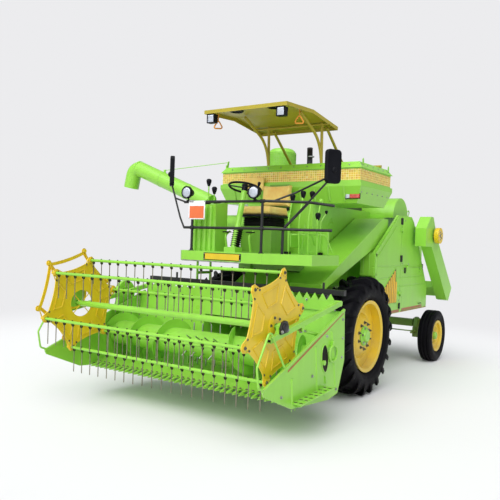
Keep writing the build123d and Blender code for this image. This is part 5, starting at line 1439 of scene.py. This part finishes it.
        # Ladder: folded treads with a row of raised teeth
        corners = []
        for z in (660, 930, 1200, 1470):
            corners.append(((846, -792, z + 10), (1084, -736, z + 15)))
            corners += [((854 + k * 19, -788, z + 14), (862 + k * 19, -740, z + 20)) for k in range(12)]
        blocks("ladder_treads", corners, "frame green")

        # Steering wheel: centre boss and spinner knob, and the boot of its column
        shape = Shape().turned((0, 0, 0), [(18, 40), (30, 44), (38, 38), (42, 16)], axis="z", sides=28)
        knob(shape, (0, 195, 40), 20, 60)
        shape.turn(-15, goal=(1150, -30, 2540))
        show("steering_wheel_boss", shape, "plastic", "driver_wheel", smooth=50, slot="wheel_plastic")
        folds = [(along, radius) for k in range(0, 234, 26) for along, radius in ((k, 46), (k + 13, 62))]
        base = (1268, -30, 1822)
        boot = Shape().turned(base, [*folds, (236, 46)], axis="z", sides=28).turn(-15, base, (1318, -30, 1820))
        show("column_boot", boot, "rubber", smooth=50)
        return {"FINISHED"}


# Seat ----------------------------------------------------------------------------------------


STITCH_LINES = (-195, -70, 55)
PAD_FILL = 0.8


def crowned_pad(low, high, crown=6, pull=5):
    """A closed cushion form: sides pulled in between the corners, top and bottom crowned."""
    count = 15
    shape = Shape()
    grid = {}
    centre = [(low[i] + high[i]) / 2 for i in range(3)]
    half = [(high[i] - low[i]) / 2 for i in range(3)]
    for layer, level in enumerate((-1.0, -0.55, 0.0, 0.55, 1.0)):
        shrink = 1 - 0.05 * level * level
        for i in range(count):
            for j in range(count):
                if layer not in (0, 4) and 0 < i < count - 1 and 0 < j < count - 1:
                    continue
                u, v = 2 * i / (count - 1) - 1, 2 * j / (count - 1) - 1
                bulge = crown * (1 - u * u) * (1 - v * v)
                x = centre[0] + half[0] * u * shrink - pull * u * (1 - v * v)
                y = centre[1] + half[1] * v * shrink - pull * v * (1 - u * u)
                z = centre[2] + half[2] * level + bulge * level
                grid[layer, i, j] = len(shape.points)
                shape.points.append(Vector((x, y, z)))
    for layer, order in ((0, -1), (4, 1)):
        for i in range(count - 1):
            for j in range(count - 1):
                quad = [grid[layer, i, j], grid[layer, i + 1, j], grid[layer, i + 1, j + 1], grid[layer, i, j + 1]]
                shape.faces.append(quad[::order])
    border = [(i, 0) for i in range(count)] + [(count - 1, j) for j in range(1, count)]
    border += [(i, count - 1) for i in range(count - 2, -1, -1)] + [(0, j) for j in range(count - 2, 0, -1)]
    for layer in range(4):
        for k, (i, j) in enumerate(border):
            m, n = border[(k + 1) % len(border)]
            shape.faces.append([grid[layer, i, j], grid[layer, m, n], grid[layer + 1, m, n], grid[layer + 1, i, j]])
    return shape


def inflate(name, mesh, cap=0.010):
    """Cloth pressure on a remeshed copy, with how far a point may move capped."""
    obj = bpy.data.objects.new(name, mesh)
    scene = bpy.context.scene
    scene.collection.objects.link(obj)
    bpy.context.view_layer.objects.active = obj
    remesh = obj.modifiers.new("Even mesh", "REMESH")
    remesh.mode = "VOXEL"
    remesh.voxel_size = 0.006
    graph = bpy.context.evaluated_depsgraph_get()
    even = bpy.data.meshes.new_from_object(obj.evaluated_get(graph), depsgraph=graph)
    obj.modifiers.clear()
    obj.data = even
    start = [v.co.copy() for v in even.vertices]
    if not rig.quick():
        cloth = obj.modifiers.new("Swell", "CLOTH")
        cloth.settings.use_pressure = True
        cloth.settings.uniform_pressure_force = 4
        cloth.settings.effector_weights.gravity = 0
        cloth.point_cache.frame_start = 1
        cloth.point_cache.frame_end = 20
        for number in range(1, 21):
            scene.frame_set(number)
        graph = bpy.context.evaluated_depsgraph_get()
        moved = bpy.data.meshes.new_from_object(obj.evaluated_get(graph), depsgraph=graph)
        obj.modifiers.clear()
        for vertex, was in zip(moved.vertices, start):
            step = vertex.co - was
            if step.length > cap:
                vertex.co = was + step.normalized() * cap
        obj.data = moved
        scene.frame_set(1)
    result = obj.data
    bpy.data.objects.remove(obj)
    return result


def sew(mesh, axis, level, depth, width):
    """Presses a sewn channel along the plane where a coordinate has the level."""
    normals = [v.normal.copy() for v in mesh.vertices]
    for vertex, normal in zip(mesh.vertices, normals):
        gap = abs(vertex.co[axis] - level)
        if gap < width:
            vertex.co -= normal * depth * (0.5 + 0.5 * math.cos(math.pi * gap / width))


def cover(name, mesh, node):
    """A padded cover with stitch lines, in place of a packed cushion."""
    piece = show(name, mesh, "vinyl", smooth=180)
    soft = piece.modifiers.new("Smooth", "SUBSURF")
    soft.levels = soft.render_levels = 1
    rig.padded(piece, PAD_FILL)
    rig.replaces(piece, node)


class HARVESTER_OT_seat(bpy.types.Operator):
    """Driver's seat: stuffed cushion and backrest, covered board, bellows and tray"""

    bl_idname = "harvester.seat"
    bl_label = "Seat"

    def execute(self, context):
        mesh = inflate("cushion", crowned_pad((412, -313, 2247), (888, 173, 2330)).mesh("cushion"))
        for y in STITCH_LINES:
            sew(mesh, 1, at(0, y, 0).y, 0.004, 0.010)
        sew(mesh, 2, at(0, 0, 2288).z, 0.003, 0.008)
        cover("seat_cushion_cover", mesh, "seat_cushion")

        # Backrest: made lying flat, then stood up against its board
        shape = crowned_pad((-146, -293, -38), (146, 153, 38))
        lean = Matrix.Rotation(math.radians(-90), 4, "Y")
        tip = Matrix.Rotation(math.radians(-4), 4, "Y")
        middle = Vector((342, 0, 2505))
        shape.points = [tip @ (lean @ Vector((p.x, 0, p.z))) + Vector((0, p.y, 0)) + middle for p in shape.points]
        mesh = inflate("backrest", shape.mesh("backrest"))
        for y in STITCH_LINES:
            sew(mesh, 1, at(0, y, 0).y, 0.004, 0.010)
        cover("seat_backrest_cover", mesh, "seat_backrest")

        # Covered board against the tank wall, for a passenger leaning there
        shape = Shape().block((-88, -632, -12), (88, -320, 12)).turn(-90, goal=(286, 0, 2684))
        show("lean_board", shape, "vinyl", bevel=9)

        # Black bellows round the seat's spring box, and its tray
        rings = []
        for k in range(11):
            fold = 0 if k % 2 else 16
            back, front, right, left, z = 445 - fold, 815 + fold, -252 - fold, 112 + fold, 2092 + k * 11
            rings.append([(back, right, z), (front, right, z), (front, left, z), (back, left, z)])
        show("seat_bellows", Shape().loft(rings), "rubber", bevel=4, smooth=50)
        outline = [(404, -320), (890, -320), (902, -300), (902, 160), (890, 180), (404, 180)]
        show("seat_tray", Shape().prism(outline, 2208, 2236, "z"), "plastic", bevel=6)
        return {"FINISHED"}


# Roof, tank and top --------------------------------------------------------------------------


WORK_LAMP_Z = 3398


def grille_vent(number, x, y):
    """A round black vent under the roof: a grille in a ring."""
    base = touch("canopy_roof", (x, y, 3000), UP)[0][2]
    rim = [(3, 88), (-16, 88), (-24, 80), (-24, 68), (3, 68)]
    shape = Shape().turned((x, y, base), rim, axis="z", sides=40, closed=False)
    for radius in (14, 32, 50):
        hoop = [(-10, radius), (-18, radius), (-18, radius + 6), (-10, radius + 6)]
        shape.turned((x, y, base), hoop, axis="z", sides=28, closed=False)
    for angle in (math.pi * k / 4 for k in range(4)):
        along, across = Vector((math.cos(angle), math.sin(angle))) * 70, Vector((-math.sin(angle), math.cos(angle))) * 3
        middle = Vector((x, y))
        outline = [middle - along + across, middle + along + across, middle + along - across, middle - along - across]
        shape.prism(outline, base - 13, base - 8, "z")
    shape.turned((x, y, base), [(2, 70), (-3, 70)], axis="z", sides=28)
    show(f"roof_vent_{number}", shape, "plastic", smooth=40)


def work_lamp(number, y):
    """Square bezel and ribbed lens of a lamp under the roof's front edge."""
    x = touch("lamps_and_mirrors", (1500, y, WORK_LAMP_Z), BACK)[0][0]
    sides = (((-58, -56), (-46, 56)), ((46, -56), (58, 56)), ((-46, -56), (46, -45)), ((-46, 45), (46, 56)))
    corners = [((x - 2, y + a, WORK_LAMP_Z + b), (x + 9, y + c, WORK_LAMP_Z + d)) for (a, b), (c, d) in sides]
    blocks(f"work_lamp_{number}_bezel", corners, "plastic", bevel=3)
    square = ((-1, -1), (1, -1), (1, 1), (-1, 1))
    rings = [
        [(x + depth, y + a * half, WORK_LAMP_Z + b * half) for a, b in square]
        for depth, half in ((-1, 46), (4, 45), (7, 38), (8, 20))
    ]
    show(f"work_lamp_{number}_lens", Shape().loft(rings), "clear lens")


def hand_loop(number, x, y):
    """A triangle on a short strap under a roof edge."""
    base = touch("canopy_roof", (x, y, 3000), UP)[0][2]
    blocks(f"hand_loop_{number}_strap", [((x - 9, y - 3, base - 92), (x + 9, y + 3, base + 3))], "loop", bevel=1)
    path = [(x, y, base - 84), (x - 34, y + 52, base - 190), (x + 34, y - 52, base - 190)]
    bars(f"hand_loop_{number}", [path], 9, "loop", bend=18, loop=True)


class HARVESTER_OT_roof(bpy.types.Operator):
    """Roof and tank: pressed ribs, vents, lamps, hand loops, corner lugs and bolts"""

    bl_idname = "harvester.roof"
    bl_label = "Roof and tank fittings"

    def execute(self, context):
        # Raised ribs that follow the crown of the roof and run out flat at both ends
        shape = Shape()
        stations = (60, 250, 440, 630, 820, 1010, 1170)
        for y in (-440, -220, 0, 220, 440):
            rings = []
            for (x, _, z), _ in touches("canopy_roof", [(x, y, 3900) for x in stations], DOWN):
                top = z if x < stations[0] + 1 or x > stations[-1] - 1 else z + 9
                rings.append([(x, y - 30, z - 2), (x, y - 16, top), (x, y + 16, top), (x, y + 30, z - 2)])
            shape.loft(rings)
        show("roof_ribs", shape, "roof", smooth=50)
        for number, y in enumerate((-215, 330), 1):
            grille_vent(number, 1120, y)
        for number, y in enumerate((-510, 500), 1):
            work_lamp(number, y)
        for number, (x, y) in enumerate(((1050, -545), (885, 540)), 1):
            hand_loop(number, x, y)
        # Roof bolts on the cross tubes
        starts = [(x, y, 3900) for x in (110, 1190) for y in (-330, -110, 120, 340, 480)]
        bolts("roof_bolts", touches("canopy_roof", starts, DOWN), 16, "steel")

        # Tank: front lamp with a pale third
        x = touch("grain_tank", (900, 954, 2500), BACK)[0][0]
        for part, low, high in (("clear", 859, 918), ("red", 918, 1049)):
            rings = []
            for depth, inset in ((-12, 0), (10, 0), (15, 5)):
                a, b, c, d = low + inset, high - inset, 2480 + inset, 2532 - inset
                rings.append([(x + depth, a, c), (x + depth, b, c), (x + depth, b, d), (x + depth, a, d)])
            show(f"tank_lamp_left_{part}", Shape().loft(rings), part + " lens", bevel=1)
        blocks("tank_lamp_left_tray", [((x - 4, 852, 2472), (x + 6, 1056, 2540))], "plastic", bevel=2)

        # Bolts round the rim and along the hip, and rim corner lugs
        places = []
        for x in range(-680, 200, 170):
            for side in (-1, 1):
                places += touches("grain_tank", [(x, side * 1500, z) for z in (2900, 2560)], (0, -side, 0))
        for y in range(-900, 1000, 200):
            for x, way in ((900, BACK), (-1500, AHEAD)):
                places.append(touch("grain_tank", (x, y, 2900), way))
        bolts("tank_bolts", places, 13, "steel")
        shape = Shape()
        for x in (-690, 150):
            for side in (-1, 1):
                y = touch("grain_tank", (x, side * 1500, 2900), (0, -side, 0))[0][1]
                outline = [(x - 26, 2900), (x + 26, 2900), (x + 20, 2972), (x, 2986), (x - 20, 2972)]
                shape.prism(outline, y, y + side * 6)
        shape.loft([
            [(150, -1046, 2890), (200, -1046, 2890), (200, -1030, 2890), (150, -1030, 2890)],
            [(168, -1004, 3030), (192, -1004, 3030), (192, -994, 3030), (168, -994, 3030)],
        ])
        show("tank_lugs", shape, "green", bevel=2)
        shape = Shape()
        for y in range(-840, 900, 210):
            high, low = (touch("grain_tank", (900, y, z), BACK)[0][0] for z in (2655, 2480))
            shape.loft([
                [(x - 1, y - 14, z), (x + 6, y - 7, z), (x + 6, y + 7, z), (x - 1, y + 14, z)]
                for x, z in ((low, 2450), (high, 2622))
            ])
        show("tank_front_ribs", shape, "green", smooth=40)
        return {"FINISHED"}


SCREEN_X, SCREEN_Y = -1165, -930


def screen_radius(z):
    """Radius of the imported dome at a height."""
    return SCREEN_X - touch("cooling_housing", (SCREEN_X - 600, SCREEN_Y, z), AHEAD)[0][0]


class HARVESTER_OT_engine(bpy.types.Operator):
    """Engine deck: dust screen, grille, exhaust clamps, pipes and head fittings"""

    bl_idname = "harvester.engine"
    bl_label = "Engine deck fittings"

    def execute(self, context):
        # Round dust screen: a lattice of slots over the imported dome
        shape = Shape()
        for z in range(2990, 3340, 26):
            radius = screen_radius(z)
            hoop = [(-4, radius - 1), (-3, radius + 5), (3, radius + 5), (4, radius - 1)]
            shape.turned((SCREEN_X, SCREEN_Y, z), hoop, axis="z", sides=48, closed=False)
        show("dust_screen_hoops", shape, "green", smooth=50)
        x = SCREEN_X + screen_radius(3150)
        bar = Shape().block((x - 1, SCREEN_Y - 3, 2985), (x + 4, SCREEN_Y + 3, 3330))
        spun("dust_screen_bars", bar, "green", "machine", 48, (SCREEN_X, SCREEN_Y, 0), (0.0, 0.0, 1.0))
        rim = [(0, 214), (0, 246), (14, 246), (24, 236), (24, 214)]
        shape = Shape().turned((SCREEN_X, SCREEN_Y, 2960), rim, axis="z", sides=48, closed=False)
        show("dust_screen_rim", shape, "green", smooth=40)

        # Grille slats on the outer face of the cooling box, and their frame
        face = touch("cooling_housing", (SCREEN_X, -2000, 2700), (0, 1, 0))[0][1]
        shape = Shape()
        for z in range(2480, 2900, 34):
            shape.prism([(face - 14, z), (face - 9, z + 3), (face + 2, z + 26), (face + 2, z + 20)], -1370, -960, "x")
        show("cooling_grille", shape, "iron")
        edges = (
            (-1390, 2450, -1370, 2930), (-960, 2450, -940, 2930), (-1370, 2450, -960, 2470), (-1370, 2912, -960, 2930),
        )
        corners = [((a, face - 16, b), (c, face + 2, d)) for a, b, c, d in edges]
        blocks("cooling_frame", corners, "green", bevel=3)

        # Exhaust clamps along the leaning pipe
        shape = Shape()
        for z, radius in ((2560, 45), (2690, 47), (3130, 47), (3300, 45)):
            y = -600 + 40 * (z - 2420) / 1010
            x = touch("exhaust_pipe", (-2400, y, z), AHEAD)[0][0] + 45
            clamp = [(-9, radius + 5), (-7, radius + 9), (7, radius + 9), (9, radius + 5)]
            shape.turned((x, y, z), clamp, axis="z", sides=28, closed=False)
        show("exhaust_clamps", shape, "steel", smooth=40)

        # Moulded elbows and pipes between the engine and the cooling box
        elbows = [
            [(-1010, -450, 2700), (-1010, -540, 2700), (-1010, -560, 2640)],
            [(-1320, -450, 2560), (-1320, -560, 2560)],
        ]
        bars("cooling_elbows", elbows, 26, "rubber", bend=40, sides=14, slot="black_tyre")
        pipes = [
            [(-1500, -380, 2860), (-1500, -380, 2920), (-1340, -300, 2960), (-960, -300, 2960), (-900, -300, 2860)],
            [(-1540, 100, 2860), (-1480, 120, 2900), (-1000, 180, 2900), (-900, 200, 2850)],
        ]
        bars("engine_pipes", pipes, 9, "steel", bend=50, sides=8)
        shape = Shape()
        for x in range(-1480, -880, 100):
            shape.block((x - 34, -200, 2852), (x + 34, 0, 2872))
            shape.turned((x, -160, 2860), [(0, 16), (44, 14), (46, 8)], axis="z", sides=16)
            shape.turned((x, 80, 2860), [(0, 20), (20, 20), (24, 12)], axis="z", sides=16)
        show("engine_head_fittings", shape, "iron", bevel=3)
        return {"FINISHED"}


GUARD_FACE = 920
GUARD_SKIN = 919


class HARVESTER_OT_guards(bpy.types.Operator):
    """Side guards: vents, hinges, latches, folded edge, channel, bolts and orange lines"""

    bl_idname = "harvester.guards"
    bl_label = "Side guard fittings"

    def execute(self, context):
        # Triangular yellow vents with upright ribs over a dark sheet, painted shade in the gaps between the ribs
        outline = [(-1475, 1590), (-1046, 1316), (-1080, 1066), (-1545, 1066)]
        for word, side in SIDES:
            body, face = f"{word}_door", side * GUARD_FACE
            show(f"guard_{word}_vent", Shape().prism(outline, face - side, face + side * 2), "vent gap", body, bevel=1)
            ribs = Shape()
            for x in range(-1500, -1010, 70):
                edge = 1066 + (x + 1545) / 70 * 524 if x < -1475 else 1590 - (x + 1475) / 429 * 274
                ribs.rib([(x, 1074), (x, edge - 22)], 20, 12, face, side * 12, sunk=0)
            show(f"guard_{word}_vent_ribs", ribs, "vented guard", body, smooth=30)
            path = [(x, face + side * 4, z) for x, z in outline]
            bars(f"guard_{word}_vent_rim", [path], 5, "green", body, bend=18, sides=8, loop=True)

        # Black hinge blocks, each two leaves round a pin, and black pull latches
        for number, (body, x, z, wide, tall) in enumerate((
            ("machine", -1654, 2283, 84, 96), ("machine", -1674, 1723, 84, 96), ("machine", -1647, 1013, 60, 84),
            ("left_flap", -1843, 1540, 46, 78), ("machine", -2640, 1600, 40, 60),
        ), 1):
            shape = Shape()
            for out in (-1, 1):
                low, high = sorted((x + out * 5, x + out * wide / 2))
                shape.block((low, GUARD_SKIN, z - tall / 2), (high, 930, z + tall / 2))
            shape.turned((x, 931, z), [(-tall / 2 - 3, 9), (tall / 2 + 3, 9)], axis="z", sides=16)
            show(f"guard_hinge_{number}", shape, "black", body, bevel=2.5, smooth=40)
        for number, (node, body, x, z) in enumerate((
            ("left_front_door", "left_door", -1120, 985), ("left_rear_flap", "left_flap", -2560, 1000),
        ), 1):
            face = touch(node, (x, 1300, z), (0, -1, 0))[0][1]
            path = [(x - 46, face - 1, z), (x - 46, face + 26, z), (x + 46, face + 26, z), (x + 46, face - 1, z)]
            bars(f"guard_latch_{number}", [path], 6, "black", body, bend=12)

        # Folded front edge of the left guard
        shape = Shape()
        edge = [(-1070, 925), (-660, 1490), (-660, 1792), (-1500, 2352)]
        out = Vector((0, 13, 0))
        for (xa, za), (xb, zb) in zip(edge, edge[1:]):
            run = Vector((xb - xa, 0, zb - za)).normalized()
            inward = Vector((-run.z, 0, run.x))
            ends = (Vector((xa, GUARD_SKIN, za)), Vector((xb, GUARD_SKIN, zb)))
            shape.loft([[p, p + out, p + inward * 58 + out, p + inward * 74] for p in ends])
        show("guard_folded_edge", shape, "green", "left_door", bevel=2)
        # Channel across its upright front edge, and a pressed ridge along its slanted edge
        corners = [((-646, 718, 1486), (-640, 893, 1800)), ((-700, 718, 1486), (-640, 724, 1800))]
        corners += [((-641, y - 9, 1500), (-635, y + 9, 1786)) for y in (758, 846)]
        blocks("guard_front_channel", corners, "green", "left_door", bevel=2)
        ridge = [(-1447, 921, 2200), (-745, 921, 1735), (-745, 921, 1500)]
        bars("guard_ridge", [ridge], 7, "green", "left_door", bend=60)
        for node, body, spots in (
            ("left_front_door", "left_door", [
                (-1080, 1000), (-700, 1500), (-700, 1770), (-1000, 2000), (-1480, 2300), (-1630, 1100), (-1630, 2250),
            ]),
            ("rear_side_panels", "machine", [
                (-1800, 2300), (-2050, 2330), (-2220, 2160), (-2620, 1602), (-1720, 1650), (-2000, 1640),
            ]),
            ("left_rear_flap", "left_flap", [(-1780, 960), (-2640, 960), (-2680, 1540), (-1780, 1540)]),
        ):
            held = touches(node, [(x, 1300, z) for x, z in spots], (0, -1, 0))
            bolts(f"{node}_bolts", held, 13, "steel", body)

        # Orange lines along the foot of the flap and of the door
        shape = Shape()
        for front, rear, low, high in ((-1720, -2910, 914, 926), (-1765, -2695, 934, 968)):
            shape.prism([(front, low), (front, high), (rear, high), (rear, low)], GUARD_SKIN, 922.5)
        show("guard_orange_line", shape, "orange", "left_flap", bevel=0.8)
        shape = Shape().prism([(-1100, 916), (-1130, 960), (-1655, 960), (-1655, 916)], GUARD_SKIN, 922.5)
        show("guard_orange_line_front", shape, "orange", "left_door", bevel=0.8)
        return {"FINISHED"}


def side_rivets(node, stations, heights):
    """Rivets on both sides of a part; where it has no wall at a height, the station is left out."""
    places = []
    for x in stations:
        for side in (-1, 1):
            try:
                for z in heights:
                    places.append(touch(node, (x, side * 1800, z), (0, -side, 0)))
            except RuntimeError:
                pass
    return places


class HARVESTER_OT_body(bpy.types.Operator):
    """Body and frame: rivets, ribs, axle bolts, oil ports and the unloading tube's bands"""

    bl_idname = "harvester.body"
    bl_label = "Body, frame and unloader fittings"

    def execute(self, context):
        # Unloading tube: rolled bands where the sheets meet, turret bolts
        start, end = Vector((-20, -1450, 2460)), Vector((-20, -3040, 3064))
        run = (end - start).normalized()
        side = Vector((1, 0, 0))
        up = run.cross(side)
        shape = Shape()
        for share in (0.30, 0.62, 0.95):
            middle = start + run * (end - start).length * share
            rings = [
                [middle + run * along + (side * math.cos(t) + up * math.sin(t)) * radius for t in round_angles(40)]
                for along, radius in ((-14, 119), (-9, 123.5), (9, 123.5), (14, 119))
            ]
            shape.loft(rings, caps=False)
        show("unloader_bands", shape, "green", "unloader", smooth=40)
        places = [((-20 + 138 * math.cos(a), -1450 + 138 * math.sin(a), 2288), DOWN) for a in round_angles(10, 0.3)]
        bolts("turret_lower_bolts", places, 16, "steel")

        # Thresher and hood: rivets along the shoulders, pressed ribs, lifting hook
        bolts("thresher_rivets", side_rivets("thresher_body", range(-1560, 160, 120), (1310, 975)), 11, "green")
        bolts("hood_rivets", side_rivets("straw_hood", range(-3200, -1700, 130), (1420,)), 11, "green")
        shape = Shape()
        for side in (1, -1):
            for x, top in ((-2150, 2290), (-2600, 2263), (-3050, 2218)):
                shape.rib([(x, 1480), (x, top)], 24, 8, side * 630, side * 12)
        show("hood_ribs", shape, "green", smooth=40)
        hook = [
            (-2330, 640, 2330), (-2400, 700, 2440), (-2480, 715, 2500), (-2560, 700, 2470), (-2540, 690, 2400),
            (-2470, 690, 2410),
        ]
        bars("hood_hook", [hook], 8, "green", bend=25, sides=8)

        # Drive flange bolts, rear king pin caps and the lift rams' oil ports
        for word, out in SIDES:
            bolts(f"drive_{word}_bolts", ring_places(FRONT_AXIS, 165, 12, out * 560, (0, -out, 0)), 20, "steel")
        for word, side in SIDES:
            x, y, z = touch(f"steering_knuckle_{word}", (REAR_AXIS[0], side * 720, 900), DOWN)[0]
            shape = Shape().turned((x, y, z), [(-2, 26), (5, 26), (9, 18), (9, 6)], axis="z", sides=20)
            show(f"king_pin_{word}_cap", shape, "steel", f"{word}_knuckle")
        for word, side in SIDES:
            base, eye = Vector((140, side * 455, 600)), Vector((1150, side * 455, 620))
            run = (eye - base).normalized()
            low = base + run * 90 + Vector((0, 0, 40))
            high = low + Vector((0, 0, 30))
            path = [low, high, high - run * 55]
            bars(f"lift_port_{word}", [path], 9, "steel", "lift_cylinders", bend=14)

        # Feeder house ribs
        shape = Shape()
        for out in (1, -1):
            for x in (620, 860, 1100):
                face = touch("feeder_house", (x, out * 800, 900), (0, -out, 0))[0][1]
                shape.rib([(x, 860 - (x - 620) * 0.62), (x, 1240 - (x - 620) * 0.35)], 22, 8, face, out * 10)
        show("feeder_ribs", shape, "header green", "header", smooth=40)
        return {"FINISHED"}


class HARVESTER_OT_elevator(bpy.types.Operator):
    """Returns elevator: hub and bolts of its belt wheel"""

    bl_idname = "harvester.elevator"
    bl_label = "Elevator fittings"

    def execute(self, context):
        x, z = -2520, 2100
        shape = Shape().turned((x, 1245, z), [(-4, 34), (6, 34), (12, 26), (12, 8)], sides=24)
        show("pulley_hub", shape, "steel", "pulley")
        starts = [polar((x, 0, z), 62, angle, OUTSIDE) for angle in round_angles(5)]
        bolts("pulley_bolts", touches("tailings_pulley", starts, (0, -1, 0)), 16, "steel", "pulley")
        return {"FINISHED"}


# Stage ---------------------------------------------------------------------------------------


CAMERA_PLACE = (7260, 4210, 1860)
CAMERA_TURNS = (math.radians(213.93), math.radians(-1.11), 0.0349)
CAMERA_LENS = 44.16


class HARVESTER_OT_stage(bpy.types.Operator):
    """Pale floor, plain daylight and the photograph's camera"""

    bl_idname = "harvester.stage"
    bl_label = "Stage and camera"

    def execute(self, context):
        scene = context.scene
        scene.view_settings.view_transform = "Standard"
        background = linear("#ececee")

        mesh = bpy.data.meshes.new("studio_floor")
        count, size = 64, 60.0
        ring = [(size * math.cos(angle), size * math.sin(angle), 0) for angle in round_angles(count)]
        mesh.from_pydata(ring, [], [list(range(count))])
        floor = bpy.data.objects.new("studio_floor", mesh)
        scene.collection.objects.link(floor)
        material, tree, shader = fresh("Studio floor")
        fill(tree, shader, Base_Color=(0.80, 0.80, 0.80), Roughness=0.9, Specular_IOR_Level=0.1)
        reach = use(tree, "Round zone", Centre=(0.0, 0.0, 0.0), Across=(1.0, 1.0, 0.0), Radius=1.0)[1]
        far = ranged(tree, reach, 4.0, 9.0, smooth=True)
        seen = put(tree, "ShaderNodeLightPath").outputs
        camera = reckon(tree, "MAXIMUM", seen["Is Camera Ray"], seen["Is Glossy Ray"])
        glow = put(tree, "ShaderNodeEmission", Color=(*background, 1), Strength=1.0)
        share = reckon(tree, "MULTIPLY", far, camera)
        blend = put(tree, "ShaderNodeMixShader", Fac=share, i1=shader.outputs[0], i2=glow.outputs[0])
        output = next(n for n in tree.nodes if n.type == "OUTPUT_MATERIAL")
        tree.links.new(blend.outputs[0], output.inputs[0])
        mesh.materials.append(material)
        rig.stage(floor)

        world = bpy.data.worlds.new("Plain daylight")
        scene.world = world
        world.use_nodes = True
        tree = world.node_tree
        tree.nodes.clear()
        seen = put(tree, "ShaderNodeLightPath").outputs
        camera = reckon(tree, "MAXIMUM", seen["Is Camera Ray"], seen["Is Transmission Ray"])
        light = put(tree, "ShaderNodeBackground", Color=(0.93, 0.96, 1.0, 1), Strength=0.46)
        plain = put(tree, "ShaderNodeBackground", Color=(*background, 1), Strength=1.0)
        both = put(tree, "ShaderNodeMixShader", Fac=camera, i1=light.outputs[0], i2=plain.outputs[0])
        put(tree, "ShaderNodeOutputWorld", Surface=both.outputs[0])

        for name, strength, angle, direction in (
            ("Key daylight", 2.5, 70.0, (-0.55, -0.12, -0.83)),
            ("Front fill", 1.5, 110.0, (-0.96, -0.12, -0.24)),
        ):
            lamp = bpy.data.lights.new(name, "SUN")
            lamp.energy = strength
            lamp.angle = math.radians(angle)
            obj = bpy.data.objects.new(name, lamp)
            obj.rotation_euler = Vector(direction).to_track_quat("-Z", "Y").to_euler()
            scene.collection.objects.link(obj)

        yaw, pitch, roll = CAMERA_TURNS
        ahead = Vector((math.cos(yaw) * math.cos(pitch), math.sin(yaw) * math.cos(pitch), math.sin(pitch)))
        right = ahead.cross(Vector((0, 0, 1))).normalized()
        up = right.cross(ahead)
        tilted = math.cos(roll) * right + math.sin(roll) * up
        above = -math.sin(roll) * right + math.cos(roll) * up
        data = bpy.data.cameras.new("Photo camera")
        data.sensor_width = 36
        data.lens = CAMERA_LENS
        data.shift_x = -0.0029
        data.shift_y = 0.0124
        data.clip_end = 200
        camera = bpy.data.objects.new("Photo camera", data)
        turn = Matrix((tilted, above, -ahead)).transposed().to_4x4()
        camera.matrix_world = Matrix.Translation(at(*CAMERA_PLACE)) @ turn
        scene.collection.objects.link(camera)
        scene.camera = camera
        return {"FINISHED"}


class HARVESTER_OT_finishes(bpy.types.Operator):
    """Paints, rubbers, metals and vinyl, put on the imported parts"""

    bl_idname = "harvester.finishes"
    bl_label = "Finishes"

    def execute(self, context):
        build_effects()
        build_trees()
        build_finishes()
        chosen = {node: FINISHES[finish] for finish, nodes in CAD_FINISHES.items() for node in nodes}
        for number in range(6):
            chosen[f"tine_bar_{number + 1}"] = FINISHES[f"bar {number + 1}"]
        for name, node in frame["nodes"].items():
            if name not in chosen:
                raise RuntimeError(name + " has no finish")
            for slot in node.material_slots:
                slot.material = chosen[name]
            if not node.material_slots:
                node.data.materials.append(chosen[name])
        return {"FINISHED"}


class HARVESTER_PT_panel(bpy.types.Panel):
    """Lists the steps in order"""

    bl_idname = "HARVESTER_PT_panel"
    bl_label = "Combine harvester"
    bl_space_type = "VIEW_3D"
    bl_region_type = "UI"
    bl_category = "Harvester"

    def draw(self, context):
        chosen = context.scene.harvester
        for group in (chosen.paint, chosen.tyre, chosen.header):
            for name in group.__annotations__:
                self.layout.prop(group, name)
        for step in STEPS:
            self.layout.operator(step.bl_idname)


STEPS = [
    HARVESTER_OT_finishes,
    HARVESTER_OT_tyres,
    HARVESTER_OT_header,
    HARVESTER_OT_reel,
    HARVESTER_OT_platform,
    HARVESTER_OT_seat,
    HARVESTER_OT_roof,
    HARVESTER_OT_engine,
    HARVESTER_OT_guards,
    HARVESTER_OT_body,
    HARVESTER_OT_elevator,
    HARVESTER_OT_stage,
]
CLASSES = [PaintSettings, TyreSettings, HeaderSettings, HarvesterSettings, *STEPS, HARVESTER_PT_panel]


def register():
    for item in CLASSES:
        bpy.utils.register_class(item)
    bpy.types.Scene.harvester = PointerProperty(type=HarvesterSettings)


def unregister():
    del bpy.types.Scene.harvester
    for item in reversed(CLASSES):
        bpy.utils.unregister_class(item)


def main():
    register()
    for step in STEPS:
        family, name = step.bl_idname.split(".")
        getattr(getattr(bpy.ops, family), name)()
    sizes = {"cad": CAD_BOX, "visual": [list(corner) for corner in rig.bounds()]}
    with open("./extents.json", "w") as page:
        json.dump(sizes, page)


if __name__ == "__main__":
    main()
